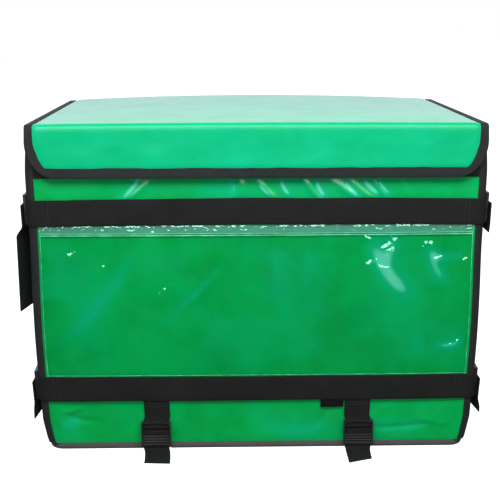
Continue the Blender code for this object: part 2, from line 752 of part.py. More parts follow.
def make_tag():
    """The small bare tag that hangs from under the lower belt, beside the right tie strap."""
    right = TIE_X - STRAP_W / 2 - TAG_TO_STRAP
    belt_low = LOWER_BELT_Z - WEB_W / 2
    low, high = belt_low - TAG_DROP, belt_low + UNDER_BELT
    patch("sewn_tag", right - TAG_W, right, low, high, GAP, GAP + TAG_T, "webbing")


start_empty()
make_walls()
make_base()
make_lid()
make_lid_binding()
make_hinge()
make_corner_binding()
make_pocket()
make_belts()
make_side_buckles()
make_belt_tails()
make_anchors()
make_ladder_buckles()
make_tie_straps()
make_tag()
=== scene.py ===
# %% [markdown]
# # An insulated delivery bag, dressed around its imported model
#
# The bag is a box of coated cloth over foam walls. Black tape binds its edges, two webbing belts go
# round it, a clear film pocket covers its front, and two tie straps come out from under its base.
# Each cell below makes one piece or one finish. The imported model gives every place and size, and
# this file makes the surfaces that show.

import math

import bmesh
import bpy
import numpy as np
from mathutils import Matrix, Vector


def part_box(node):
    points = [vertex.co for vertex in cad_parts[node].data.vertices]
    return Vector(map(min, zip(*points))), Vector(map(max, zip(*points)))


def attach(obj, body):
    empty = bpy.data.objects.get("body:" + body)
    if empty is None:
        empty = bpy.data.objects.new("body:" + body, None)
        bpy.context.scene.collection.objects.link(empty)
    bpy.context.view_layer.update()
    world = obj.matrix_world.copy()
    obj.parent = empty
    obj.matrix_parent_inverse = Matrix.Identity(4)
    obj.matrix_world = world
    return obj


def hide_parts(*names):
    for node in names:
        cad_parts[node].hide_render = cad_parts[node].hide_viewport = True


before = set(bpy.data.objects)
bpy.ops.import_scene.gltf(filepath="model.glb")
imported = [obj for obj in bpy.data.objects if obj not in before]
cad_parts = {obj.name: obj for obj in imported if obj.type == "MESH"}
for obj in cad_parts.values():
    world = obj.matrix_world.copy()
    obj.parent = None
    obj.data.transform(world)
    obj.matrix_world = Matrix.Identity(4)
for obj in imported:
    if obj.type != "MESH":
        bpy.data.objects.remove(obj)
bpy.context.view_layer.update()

# %% [markdown]
# ## The camera comes first
#
# The photograph was taken from a little above the bag's middle with a long lens, so the front looks
# almost flat and the lid shows as a thin band. A camera could be aimed at a target, but here it is
# given as a place and three small turns, because those are easy to read and to correct.

# %% The camera
CAMERA_PLACE = Vector((-0.0361, -1.6069, 0.6298))
CAMERA_YAW = -0.01845
CAMERA_DOWN = 0.22788
CAMERA_ROLL = -0.00202
CAMERA_LENS = 72.85


def make_camera():
    """The camera, turned about the upright, tipped down and rolled a little."""
    level = Vector((-math.sin(CAMERA_YAW), math.cos(CAMERA_YAW), 0))
    forward = level * math.cos(CAMERA_DOWN) - Vector((0, 0, math.sin(CAMERA_DOWN)))
    right = Vector((math.cos(CAMERA_YAW), math.sin(CAMERA_YAW), 0))
    right = Matrix.Rotation(-CAMERA_ROLL, 3, forward) @ right
    axes = Matrix((right, right.cross(forward), -forward)).transposed()
    data = bpy.data.cameras.new("camera")
    data.lens = CAMERA_LENS
    data.sensor_width = 36.0
    camera = bpy.data.objects.new("camera", data)
    bpy.context.collection.objects.link(camera)
    camera.matrix_world = Matrix.Translation(CAMERA_PLACE) @ axes.to_4x4()
    bpy.context.scene.camera = camera


make_camera()
print("camera stands", round(-CAMERA_PLACE.y, 2), "m in front and", round(CAMERA_PLACE.z, 2), "m up")

# %% [markdown]
# ## The sizes of the bag
#
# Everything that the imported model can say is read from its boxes: the width and depth from the lid,
# the heights of the belts, the places of the buckles. What a box can't say, such as the radius of a
# corner or the swell of a padded wall, is a named value here.

# %% Sizes from the frame, and the shape's own values
LID_OVER = -0.0025
FLAP_DROP = 0.074
FLAP_SHORT = 0.0018
CORNER_TAPE_FRONT = 0.001
CORNER_TAPE_SIDE = 0.009
GAP = 0.0003
lid_low, lid_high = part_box("lid_panel")
belt_low, belt_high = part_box("upper_belt_front")
lower_low, lower_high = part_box("lower_belt_front")

HALF_W = (lid_high.x - lid_low.x) / 2 - LID_OVER
HALF_D = lid_high.y
HEIGHT = lid_low.z + FLAP_DROP
BASE_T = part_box("base_panel")[1].z
WEB_W = belt_high.z - belt_low.z
UPPER_BELT_Z = (belt_low.z + belt_high.z) / 2
LOWER_BELT_Z = (lower_low.z + lower_high.z) / 2

WALL_T = 0.010
CORNER_R = 0.011
LID_T = 0.006
LID_CREASE_R = 0.003
WEB_T = 0.0014
TAPE_T = 0.001
CROWN_BACK = 0.008
CROWN_FRONT = 0.0015
FRONT_SWELL, SIDE_SWELL, BACK_SWELL = 0.0035, 0.0045, 0.0030

# How the outline changes with height: share of the body's height, of its width, of its depth
PROFILE = np.array((
    # height, width, depth
    (0.000, 0.956, 0.985),
    (0.036, 0.969, 0.990),
    (0.094, 0.985, 0.995),
    (0.318, 1.000, 1.000),
    (0.480, 1.003, 1.001),
    (0.650, 1.001, 1.001),
    (0.850, 1.009, 1.000),
    (0.940, 1.002, 1.000),
    (1.000, 0.998, 1.000),
))

# The large soft folds of the front: place and reach as shares of half the width and of the height,
# the tilt from level in degrees, and the depth as a share of the wall
FRONT_FOLDS = (
    # across, up, run, spread, tilt, depth
    (-0.84, 0.120, 0.16, 0.090, 58, 0.16),
    (-0.70, 0.090, 0.20, 0.080, -8, -0.12),
    (0.80, 0.110, 0.18, 0.090, -50, 0.14),
    (-0.05, 0.130, 0.26, 0.100, 24, -0.08),
    (-0.62, 0.520, 0.30, 0.140, 40, 0.10),
    (0.42, 0.460, 0.34, 0.150, -30, 0.12),
    (0.86, 0.620, 0.22, 0.090, 70, -0.10),
)

FRONT_RUN = HALF_W - CORNER_R
CORNER_RUN = math.pi * CORNER_R / 2
SIDE_RUN = 2 * (HALF_D - CORNER_R)
SIDE_START = FRONT_RUN + CORNER_RUN
SIDE_END = SIDE_START + SIDE_RUN
BACK_START = SIDE_END + CORNER_RUN
AROUND = 2 * (BACK_START + FRONT_RUN)
WALL_Z = BASE_T + GAP
LID_UNDER_Z = HEIGHT - LID_T
RIM_Z = LID_UNDER_Z - TAPE_T - 2 * GAP
FLAP_Z = HEIGHT - FLAP_DROP + FLAP_SHORT
OVER_TAPE = TAPE_T + 2 * GAP
BELT_OUT = max(OVER_TAPE, WEB_T + 2.5 * GAP)
BUCKLE_OUT = BELT_OUT + WEB_T + GAP
SIDES = (("left", -1), ("right", 1))
print(f"body {2 * HALF_W:.3f} wide, {2 * HALF_D:.3f} deep, {HEIGHT:.4f} high; {AROUND:.3f} round")

# %% [markdown]
# ## The skin of the body
#
# Every strap, tape and panel of this bag lies on one surface. So that surface is written once, as a
# function: give it a distance around the body, a height and a distance outside the surface, and it
# gives the point. A piece is then a small grid in those three numbers, and it can't miss the body.
# The functions take whole arrays, which makes fine grids quick.

# %% Points on the body


def ease(value):
    """A smooth step from 0 to 1."""
    value = np.clip(value, 0.0, 1.0)
    return value * value * (3 - 2 * value)


def curve_between(a, b, c, d, t):
    """A smooth curve from b to c that takes its slopes from the points on either side."""
    return b + 0.5 * t * (c - a + t * (2 * a - 5 * b + 4 * c - d + t * (3 * (b - c) + d - a)))


def tilted(across, up, tilt):
    """Two distances seen along a line and off it, for a line tilted by some degrees."""
    c, s = math.cos(math.radians(tilt)), math.sin(math.radians(tilt))
    return across * c + up * s, up * c - across * s


def outline(a):
    """The point and outward direction at a distance around the body, from the middle of the front."""
    b = (a + AROUND / 2) % AROUND - AROUND / 2
    sign = np.where(b < 0, -1.0, 1.0)
    b = np.abs(b)
    on = [b <= FRONT_RUN, b <= SIDE_START, b <= SIDE_END, b <= BACK_START]
    front, back = (b - FRONT_RUN) / CORNER_R, (b - SIDE_END) / CORNER_R
    nx = np.select(on, [0.0, np.sin(front), 1.0, np.cos(back)], 0.0)
    ny = np.select(on, [-1.0, -np.cos(front), 0.0, np.sin(back)], 1.0)
    round_x = FRONT_RUN + CORNER_R * nx
    x = np.select(on, [b, round_x, HALF_W, round_x], FRONT_RUN - (b - BACK_START))
    side_y = -HALF_D + CORNER_R + b - SIDE_START
    front_y, back_y = -HALF_D + CORNER_R + CORNER_R * ny, HALF_D - CORNER_R + CORNER_R * ny
    y = np.select(on, [-HALF_D, front_y, side_y, back_y], HALF_D)
    return sign * x, y, sign * nx, ny


def profile(z):
    """The shares of the width and depth at a height, on a smooth curve through the table."""
    up = z / HEIGHT
    last = len(PROFILE) - 1
    i = np.clip(np.searchsorted(PROFILE[:, 0], up, side="right") - 1, 0, last - 1)
    a, b = PROFILE[np.maximum(i - 1, 0), 1:], PROFILE[i, 1:]
    c, d = PROFILE[i + 1, 1:], PROFILE[np.minimum(i + 2, last), 1:]
    t = np.clip((up - PROFILE[i, 0]) / (PROFILE[i + 1, 0] - PROFILE[i, 0]), 0, 1)[..., None]
    shares = curve_between(a, b, c, d, t)
    return shares[..., 0], shares[..., 1]


def folds(x, z):
    """How far the large folds push the front out at a place."""
    total = np.zeros(np.broadcast(x, z).shape)
    for across, up, run, wide, tilt, depth in FRONT_FOLDS:
        dx, dz = x / HALF_W - across, (z / HEIGHT - up) * HEIGHT / HALF_W
        along, off = tilted(dx, dz, tilt)
        along, off = along / run, off / wide
        total = total + depth * WALL_T * np.exp(-along * along - off * off)
    return total


def swell(x, y, nx, ny, z):
    """How far the padded walls swell between the base and the flap."""
    rise = np.sin(np.pi * np.clip((z - BASE_T) / (FLAP_Z - BASE_T), 0, 1))
    wide = np.maximum(1 - (x / FRONT_RUN) ** 2, 0)
    deep = np.maximum(1 - (y / (HALF_D - CORNER_R)) ** 2, 0)
    front = FRONT_SWELL * rise * wide + folds(x, z) * np.sqrt(rise) * np.minimum(1, 6 * wide)
    out = np.select([ny < -0.999, ny > 0.999], [front, BACK_SWELL * rise * wide], 0.0)
    return np.where(np.abs(nx) > 0.999, SIDE_SWELL * rise * deep, out)


def skin(a, z, out=0.0):
    """The point at a distance around the body, at a height, and a distance outside its surface."""
    a, z, out = np.broadcast_arrays(np.asarray(a, float), z, out)
    x, y, nx, ny = outline(a)
    wide, deep = profile(z)
    out = out + swell(x, y, nx, ny, z)
    return np.stack([x * wide + nx * out, y * deep + ny * out, z], -1)


def crown(x, y):
    """How far the lid's top rises above its side edges."""
    back = np.clip((y + HALF_D) / (2 * HALF_D), 0, 1)
    half = HALF_W + LID_OVER
    return (CROWN_FRONT + (CROWN_BACK - CROWN_FRONT) * back) * np.maximum(1 - (x / half) ** 2, 0)


middle = skin(0.0, 0.5 * HEIGHT)
print("the front's middle stands at y", round(float(middle[1]), 4))

# %% [markdown]
# ## Cloth is never flat
#
# Coated cloth shows broad soft hollows, and sharper creases where it was once folded. Both can be
# made from smooth noise: the noise itself gives hollows, and where it crosses zero a narrow ridge
# stands, which looks like a crease. A fixed seed gives the same cloth on every run.

# %% Noise and creases


def soft_noise(u, v, seed):
    """Smooth noise from about -1 to 1, at places measured in cells."""
    size = 64
    angles = np.random.default_rng(seed).uniform(0, 2 * np.pi, (size, size))
    iu, iv = np.floor(u).astype(int), np.floor(v).astype(int)
    fu, fv = u - iu, v - iv

    def corner(du, dv):
        angle = angles[(iu + du) % size, (iv + dv) % size]
        return np.cos(angle) * (fu - du) + np.sin(angle) * (fv - dv)

    wu, wv = ease(fu), ease(fv)
    low = corner(0, 0) * (1 - wu) + corner(1, 0) * wu
    high = corner(0, 1) * (1 - wu) + corner(1, 1) * wu
    return 1.4 * (low * (1 - wv) + high * wv)


def creases(u, v, tilt, long, wide, seed):
    """Narrow ridges from 0 to 1 that mostly run one way, given by their tilt in degrees."""
    bent = 0.35 * soft_noise(u / (2 * wide), v / (2 * wide), seed + 1)
    along, off = tilted(u, v, tilt)
    line = soft_noise(along / long, off / wide + bent, seed)
    here = ease(1.6 * soft_noise(u / long + 9, v / long + 4, seed + 2))
    return np.maximum(1 - 5 * np.abs(line), 0) ** 1.5 * here


def edge_fade(value, low, high, width):
    """1 inside a range and 0 at its ends, with a soft change."""
    return ease((value - low) / width) * ease((high - value) / width)


def pinched(x, z, rows):
    """Single creases from a table: the place, half the length and width, the tilt, the height."""
    total = np.zeros(np.broadcast(x, z).shape)
    for at_x, at_z, long, wide, tilt, high in rows:
        along, off = tilted(x - at_x, z - at_z, tilt)
        along, off = along / long, off / wide
        off = off - 0.5 * along * along
        total = total + high * np.exp(-along ** 4 - off * off)
    return total


def cloth_relief(a, z):
    """How far the wall cloth lies inside its skin at a place, without its large folds."""
    hollows = soft_noise(a / 0.07, z / 0.05, 3) + 0.5 * soft_noise(a / 0.03, z / 0.025, 4)
    ridges = creases(a, z, 62, 0.12, 0.035, 5) + 0.7 * creases(a, z, 118, 0.10, 0.03, 8)
    return np.minimum(0.0004 * hollows + 0.0005 * ridges - 0.0007, 0.0)


# %% [markdown]
# ## From grids of points to meshes
#
# Two kinds of mesh cover nearly the whole bag. A closed sheet has an outer and an inner grid joined
# round the rim, for walls, lid and film. A strip is a small section carried along a path, for
# webbing and tape. Both give the mesh a UV map in metres, so a weave has its real scale anywhere.

# %% Mesh builders
SHARP_FOLD = 50
SHARP_PLASTIC = 60


def on_body(name, mesh, nodes):
    """An object for a mesh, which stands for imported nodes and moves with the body."""
    piece = bpy.data.objects.new(name, mesh)
    bpy.context.collection.objects.link(piece)
    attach(piece, "root")
    if nodes:
        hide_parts(*nodes)
    return piece


def finish_piece(name, points, faces, uv, material, nodes):
    """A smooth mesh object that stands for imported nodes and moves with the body."""
    mesh = bpy.data.meshes.new(name)
    mesh.from_pydata(points.tolist(), [], [tuple(face) for face in faces])
    corners = np.empty(len(mesh.loops), int)
    mesh.loops.foreach_get("vertex_index", corners)
    layer = mesh.uv_layers.new(name="metres")
    layer.data.foreach_set("uv", uv[corners].ravel())
    work = bmesh.new()
    work.from_mesh(mesh)
    bmesh.ops.recalc_face_normals(work, faces=work.faces)
    work.to_mesh(mesh)
    work.free()
    mesh.shade_smooth()
    mesh.set_sharp_from_angle(angle=math.radians(SHARP_FOLD))
    mesh.materials.append(material)
    return on_body(name, mesh, nodes)


def closed_sheet(name, outer, inner, uv, material, nodes, slot):
    """A sheet with an outer and an inner grid of points, joined round the rim."""
    rows, cols = outer.shape[:2]
    count = rows * cols
    at = np.arange(count).reshape(rows, cols)
    quads = np.stack([at[:-1, :-1], at[1:, :-1], at[1:, 1:], at[:-1, 1:]], -1).reshape(-1, 4)
    rim = np.concatenate([at[:, 0], at[-1, 1:], at[-2::-1, -1], at[0, -2:0:-1]])
    after = np.roll(rim, -1)
    sides = np.stack([rim, after, after + count, rim + count], -1)
    faces = np.concatenate([quads[:, ::-1], quads + count, sides])
    points = np.concatenate([outer.reshape(-1, 3), inner.reshape(-1, 3)])
    places = np.concatenate([uv.reshape(-1, 2)] * 2)
    return finish_piece(name, points, faces, places, material, nodes)


def strip(name, rings, uv, material, nodes):
    """A closed solid through rings of points, with flat ends."""
    rows, cols = rings.shape[:2]
    at = np.arange(rows * cols).reshape(rows, cols)
    turned = np.roll(at, -1, axis=1)
    quads = np.stack([at[:-1], turned[:-1], turned[1:], at[1:]], -1).reshape(-1, 4)
    faces = quads.tolist() + [at[0].tolist(), at[-1].tolist()]
    return finish_piece(name, rings.reshape(-1, 3), faces, uv.reshape(-1, 2), material, nodes)


def flat_section(wide, thick, across=7, turns=5):
    """The section of webbing: a flat bar with round edges, as places across and out."""
    r = thick / 2
    half = wide / 2 - r
    flat = np.linspace(half, -half, across)
    turn = np.linspace(0, np.pi, turns)[1:-1]
    x = np.concatenate([flat, -half - r * np.sin(turn), flat[::-1], half + r * np.sin(turn)])
    out = np.concatenate([np.full(across, r), r * np.cos(turn), np.full(across, -r), -r * np.cos(turn)])
    return x, out


def between(start, end, step):
    """Evenly spaced places, both ends included, about a step apart."""
    return np.linspace(start, end, max(2, round(abs(end - start) / step) + 1))


def uv_grid(u, v):
    """A UV for each place of a grid, in metres."""
    return np.stack(np.broadcast_arrays(u, v), -1)


# %% [markdown]
# ## Materials
#
# The cloth is woven polyester under a clear coat of soft plastic: deep green, smooth, with a faint
# square weave that shows through. The webbing is a heavy plain weave, nearly black, and the binding
# tape is finer and a little lighter. One helper adds a node with its inputs, so that each material
# below reads as a list of what the surface does.

# %% A helper for shader nodes


def add(tree, kind, inputs=None, **settings):
    """A node whose inputs are plain values or the outputs of other nodes."""
    node = tree.nodes.new(kind)
    for name, value in settings.items():
        setattr(node, name, value)
    for name, value in (inputs or {}).items():
        socket = node.inputs[name]
        if isinstance(value, bpy.types.NodeSocket):
            tree.links.new(value, socket)
        else:
            socket.default_value = value
    return node


def new_material(name, plain):
    """A material with its Principled node, and the colour that stands for it in plain views."""
    made = bpy.data.materials.new(name)
    made.use_nodes = True
    made.diffuse_color = (*plain, 1)
    return made.node_tree, made.node_tree.nodes["Principled BSDF"], made


def noise(tree, where, scale, detail=3.0, rough=0.5):
    """Noise at a scale, as a number from 0 to 1."""
    inputs = {"Vector": where, "Scale": scale, "Detail": detail, "Roughness": rough}
    return add(tree, "ShaderNodeTexNoise", inputs).outputs["Fac"]


def remap(tree, value, low, high, to_low, to_high):
    """A number moved from one range to another."""
    inputs = {"Value": value, "From Min": low, "From Max": high, "To Min": to_low, "To Max": to_high}
    return add(tree, "ShaderNodeMapRange", inputs).outputs["Result"]


def blend(tree, share, first, second):
    """Two colours mixed by a share."""
    node = add(tree, "ShaderNodeMix", {"Factor": share}, data_type="RGBA")
    for name, value in (("A", first), ("B", second)):
        socket = next(s for s in node.inputs if s.name == name and s.type == "RGBA")
        if isinstance(value, bpy.types.NodeSocket):
            tree.links.new(value, socket)
        else:
            socket.default_value = (*value, 1)
    return next(s for s in node.outputs if s.type == "RGBA")


def maths(tree, operation, *values):
    """A Math node's result."""
    node = tree.nodes.new("ShaderNodeMath")
    node.operation = operation
    for socket, value in zip(node.inputs, values):
        if isinstance(value, bpy.types.NodeSocket):
            tree.links.new(value, socket)
        else:
            socket.default_value = value
    return node.outputs[0]


def weave(tree, across, along):
    """The relief of a plain weave over the UV map in metres, with its two thread spacings."""
    places = add(tree, "ShaderNodeSeparateXYZ", {"Vector": add(tree, "ShaderNodeUVMap").outputs["UV"]})
    waves = [maths(tree, "SINE", maths(tree, "MULTIPLY", places.outputs[axis], 2 * math.pi / step))
             for axis, step in (("X", along), ("Y", across))]
    return remap(tree, maths(tree, "MULTIPLY", *waves), -1, 1, 0, 1)


def bump(tree, height, distance, strength=1.0, below=None):
    """A bump of a height in metres, over another one where given."""
    inputs = {"Height": height, "Distance": distance, "Strength": strength}
    if below is not None:
        inputs["Normal"] = below
    return add(tree, "ShaderNodeBump", inputs).outputs["Normal"]


# %% [markdown]
# ## The coated cloth
#
# Two greens are mixed by broad noise, because a real coated cloth is never one even colour. Other
# noise mixes in a cool teal at random. A mesh attribute paints more of that teal, and a pale colour in
# its strongest places, along the front's folds: painted sheen and painted highlights where the folds
# would catch the light. The gloss also changes from place to place. The weave is a very small bump,
# since the coat fills most of it.

# %% Cloth material


def coated_cloth(name, colours, scale, gloss, shine, unevenness, thread):
    """A green coated cloth: its four colours, roughness range, shine and relief."""
    deep, fresh, cool, pale = colours
    tree, shader, made = new_material(name, deep)
    where = add(tree, "ShaderNodeTexCoord").outputs["Object"]
    broad, small = noise(tree, where, scale, 4, 0.55), noise(tree, where, 4 * scale, 3, 0.5)
    patches = maths(tree, "ADD", maths(tree, "MULTIPLY", broad, 0.7), maths(tree, "MULTIPLY", small, 0.3))
    colour = blend(tree, remap(tree, patches, 0.38, 0.64, 0, 1), deep, fresh)
    aside = add(tree, "ShaderNodeMapping", {"Vector": where, "Location": (3.1, 1.7, 0.4)})
    rare = remap(tree, noise(tree, aside.outputs["Vector"], 1.3 * scale, 3, 0.45), 0.52, 0.72, 0, 0.3)
    # The attribute read here is painted sheen: teal reflections on the folds of the front.
    painted_sheen = add(tree, "ShaderNodeAttribute", attribute_name="painted_sheen").outputs["Fac"]
    colour = blend(tree, maths(tree, "ADD", rare, painted_sheen), colour, cool)
    # Where that painted sheen is strongest, the pale colour paints a highlight.
    colour = blend(tree, remap(tree, painted_sheen, 0.72, 1.0, 0, 0.9), colour, pale)
    tree.links.new(colour, shader.inputs["Base Color"])
    wear = noise(tree, where, 38, 4, 0.6)
    tree.links.new(remap(tree, wear, 0.3, 0.7, *gloss), shader.inputs["Roughness"])
    coarse = bump(tree, noise(tree, where, 55, 3, 0.5), 0.0012, unevenness)
    if thread:
        coarse = bump(tree, weave(tree, 0.0014, 0.0014), thread, 0.4, coarse)
    tree.links.new(coarse, shader.inputs["Normal"])
    shader.inputs["Specular IOR Level"].default_value = shine
    return made


# The four colours are deep, fresh, cool and pale: cool is random tone and painted sheen, pale a painted
# highlight.
BODY_GREEN = coated_cloth(
    "body_green_cloth",
    ((0.0006, 0.350, 0.062), (0.0010, 0.430, 0.098), (0.0020, 0.460, 0.235), (0.11, 0.66, 0.42)),
    8, (0.12, 0.24), 0.28, 0.25, 0.00003)
LID_GREEN = coated_cloth(
    "lid_green_cloth",
    ((0.0008, 0.445, 0.180), (0.0012, 0.490, 0.225), (0.0020, 0.505, 0.280), (0.05, 0.60, 0.40)),
    10, (0.22, 0.27), 0.20, 0.008, 0)
print("green cloths:", BODY_GREEN.name, LID_GREEN.name)

# %% [markdown]
# ## Webbing, tape, base cloth and plastic
#
# All four are nearly black, so they differ by surface and not by colour. The webbing has a coarse
# weave and no shine, the tape is ribbed across, the base cloth is a dull grey, and the moulded
# plastic has a soft highlight with a slight grain.

# %% Dark materials


def woven(name, dark, light, across, along, depth, rough, sheen):
    """A dark woven material: its two colours, thread spacings, relief and sheen."""
    tree, shader, made = new_material(name, dark)
    where = add(tree, "ShaderNodeTexCoord").outputs["Object"]
    threads = weave(tree, across, along)
    worn = remap(tree, noise(tree, where, 26, 5, 0.6), 0.3, 0.75, 0, 1)
    mixed = maths(tree, "MULTIPLY", maths(tree, "ADD", threads, worn), 0.5)
    tree.links.new(blend(tree, mixed, dark, light), shader.inputs["Base Color"])
    fuzz = bump(tree, noise(tree, where, 420, 2, 0.5), 0.0003, 0.3)
    tree.links.new(bump(tree, threads, depth, 0.8, fuzz), shader.inputs["Normal"])
    shader.inputs["Roughness"].default_value = rough
    shader.inputs["Sheen Weight"].default_value = sheen
    shader.inputs["Sheen Roughness"].default_value = 0.5
    shader.inputs["Specular IOR Level"].default_value = 0.18
    return made


def moulded(name, dark, rough):
    """Satin moulded plastic with a slight grain."""
    tree, shader, made = new_material(name, dark)
    where = add(tree, "ShaderNodeTexCoord").outputs["Object"]
    grain = noise(tree, where, 900, 2, 0.5)
    tree.links.new(bump(tree, grain, 0.0002, 0.25), shader.inputs["Normal"])
    worn = noise(tree, where, 60, 3, 0.5)
    tree.links.new(remap(tree, worn, 0.3, 0.7, rough - 0.06, rough + 0.08), shader.inputs["Roughness"])
    lighter = tuple(1.5 * c for c in dark)
    tree.links.new(blend(tree, worn, dark, lighter), shader.inputs["Base Color"])
    return made


WEBBING = woven("black_webbing", (0.0045, 0.0050, 0.0054), (0.0125, 0.0132, 0.0136),
                0.0016, 0.0022, 0.0003, 0.80, 0.02)
TAPE = woven("black_tape", (0.0095, 0.0115, 0.0125), (0.021, 0.0240, 0.0250),
             0.0010, 0.0008, 0.0001, 0.70, 0.04)
TAG_CLOTH = woven("black_tag_cloth", (0.0020, 0.0021, 0.0022), (0.0050, 0.0051, 0.0052),
                  0.0007, 0.0005, 0.00005, 0.60, 0.0)
BASE_GREY = woven("grey_base_cloth", (0.062, 0.0610, 0.0610), (0.085, 0.0840, 0.0840),
                  0.0012, 0.0012, 0.00008, 0.7, 0.0)
PLASTIC = moulded("buckle_plastic", (0.016, 0.0160, 0.0170), 0.34)
print("dark materials:", WEBBING.name, TAPE.name, BASE_GREY.name, PLASTIC.name)

# %% [markdown]
# ## Clear film
#
# The pocket is soft clear plastic, half a millimetre thick. Glass-like refraction would be slow and
# noisy for so thin a sheet. What the eye sees is the cloth behind it, slightly tinted, and sharp
# glints from its crinkles. So the shader is a see-through one mixed with a glossy one, and the share
# of gloss rises at a slant, as on any clear surface.

# %% Film material


def clear_film(name, tint, glint, milk, rough, crinkled):
    """See-through film with sharp glints, and a share of milk where it is worn or doubled."""
    tree, shader, made = new_material(name, (0.3, 0.8, 0.5))
    where = add(tree, "ShaderNodeTexCoord").outputs["Object"]
    crinkle = bump(tree, noise(tree, where, 70, 3, 0.5), 0.0012, crinkled)
    shader.inputs["Base Color"].default_value = (*glint, 1)
    shader.inputs["Metallic"].default_value = 0.06 / (0.06 + milk)
    shader.inputs["Roughness"].default_value = rough
    tree.links.new(crinkle, shader.inputs["Normal"])
    clear = add(tree, "ShaderNodeBsdfTransparent", {"Color": (*tint, 1)})
    slant = add(tree, "ShaderNodeLayerWeight", {"Blend": 0.5, "Normal": crinkle}).outputs["Facing"]
    share = maths(tree, "MULTIPLY_ADD", maths(tree, "POWER", slant, 5.0), 0.9, 0.06 + milk)
    mixed = add(tree, "ShaderNodeMixShader", {0: share, 1: clear.outputs[0], 2: shader.outputs[0]})
    tree.links.new(mixed.outputs[0], tree.nodes["Material Output"].inputs["Surface"])
    return made


FILM = clear_film("clear_film", (0.98, 1.0, 1.0), (0.52, 0.96, 0.86), 0.0, 0.07, 0.35)
HEM_FILM = clear_film("hem_film", (0.80, 0.98, 1.0), (0.48, 1.0, 0.86), 0.10, 0.06, 0.7)


def milky_film(name, colour):
    """Pale film for the thin welded lines of the pocket."""
    tree, shader, made = new_material(name, colour)
    where = add(tree, "ShaderNodeTexCoord").outputs["Object"]
    paler = tuple(min(1.0, 1.8 * c + 0.03) for c in colour)
    patches = remap(tree, noise(tree, where, 60, 3, 0.6), 0.4, 0.66, 0, 1)
    tree.links.new(blend(tree, patches, colour, paler), shader.inputs["Base Color"])
    shader.inputs["Roughness"].default_value = 0.25
    return made


WELD = milky_film("welded_film_edge", (0.030, 0.380, 0.180))
HEM_WELD = milky_film("welded_hem_line", (0.100, 0.560, 0.320))
print("film:", FILM.name, HEM_FILM.name, WELD.name)

# %% [markdown]
# ## The padded walls
#
# Each wall is one cloth over foam, a centimetre thick. A cloth simulation could puff it up, but the
# swell is already in the skin, and the creases have to pass under belts, tape and film without
# cutting them. So the walls are fine grids on the skin, with the creases added by the noise above.

# %% Walls


STRIP_CREASES = (
    # across, up, half length, half width, tilt, height
    (-0.163, 0.390, 0.022, 0.0028, 41, 0.0016),
    (0.013, 0.388, 0.020, 0.0040, -46, 0.0016),
    (0.076, 0.388, 0.022, 0.0042, -52, 0.0016),
    (0.122, 0.390, 0.026, 0.0050, -34, 0.0018),
    (0.145, 0.388, 0.024, 0.0045, -40, 0.0015),
    (0.172, 0.388, 0.018, 0.0024, -54, 0.0016),
    (-0.020, 0.392, 0.014, 0.0055, 86, 0.0012),
    (0.205, 0.392, 0.016, 0.0050, -60, 0.0010),
    (-0.275, 0.062, 0.016, 0.0034, 14, 0.0016),
    (-0.262, 0.047, 0.022, 0.0048, -10, -0.0016),
    (-0.180, 0.052, 0.020, 0.0060, 70, -0.0012),
    (0.215, 0.032, 0.044, 0.0034, 4, -0.0016),
    (0.265, 0.040, 0.022, 0.0040, -12, 0.0012),
    (0.100, 0.050, 0.020, 0.0050, 62, -0.0010),
)


# Where the front cloth gets painted sheen and painted highlights: teal and pale along its folds, and
# broader lighter patches
PAINTED_SHEEN_PATCHES = (
    # across, up, half length, half width, tilt, strength
    (-0.226, 0.226, 0.072, 0.0100, 51, 0.6),
    (-0.092, 0.237, 0.058, 0.0050, 44, 0.4),
    (0.030, 0.272, 0.035, 0.0100, 88, 0.3),
    (0.076, 0.281, 0.030, 0.0120, 84, 0.25),
    (0.186, 0.272, 0.050, 0.0130, -55, 0.9),
    (0.192, 0.306, 0.024, 0.0100, 80, 0.6),
    (0.256, 0.278, 0.030, 0.0100, -65, 0.8),
    (0.273, 0.292, 0.022, 0.0080, 0, 0.6),
    (0.281, 0.160, 0.018, 0.0060, 8, 0.9),
    (0.235, 0.160, 0.020, 0.0120, 86, 0.3),
    (0.200, 0.255, 0.090, 0.0500, 80, 0.2),
    (0.000, 0.393, 0.300, 0.0200, 0, 0.2),
    (-0.176, 0.393, 0.022, 0.0044, 50, 1.0),
    (-0.033, 0.393, 0.012, 0.0060, 86, 0.6),
    (0.010, 0.390, 0.014, 0.0040, -46, 0.8),
    (0.038, 0.393, 0.014, 0.0040, -60, 0.9),
    (0.088, 0.391, 0.014, 0.0044, -60, 0.9),
    (0.132, 0.391, 0.020, 0.0060, -50, 0.8),
    (0.160, 0.393, 0.018, 0.0050, -44, 0.9),
    (0.178, 0.393, 0.016, 0.0040, -50, 0.8),
    (-0.275, 0.042, 0.014, 0.0080, 20, 0.7),
    (0.060, 0.030, 0.050, 0.0100, 0, 0.3),
    (0.202, 0.030, 0.050, 0.0120, 0, 0.4),
)


def mark_painted_sheen(wall):
    """Write how much painted sheen each point of a wall gets, from 0 to 1, for its material."""
    points = np.empty(3 * len(wall.data.vertices))
    wall.data.vertices.foreach_get("co", points)
    x, _, z = points.reshape(-1, 3).T
    layer = wall.data.attributes.new("painted_sheen", "FLOAT", "POINT")
    layer.data.foreach_set("value", np.clip(pinched(x, z, PAINTED_SHEEN_PATCHES), 0, 1))


CORNER_FADE = 0.02
RIM_FADE = 0.03
OPEN_SIDE_EXTRA = 1.6


def away_from_corners(a):
    """0 under the corner tapes, rising to 1 on the open walls."""
    b = np.abs((a + AROUND / 2) % AROUND - AROUND / 2)
    side = np.minimum(b - SIDE_START, SIDE_END - b) - CORNER_TAPE_SIDE
    front, back = FRONT_RUN - CORNER_TAPE_FRONT - b, b - BACK_START - CORNER_TAPE_FRONT
    return ease(np.maximum(np.maximum(front, back), side) / CORNER_FADE)


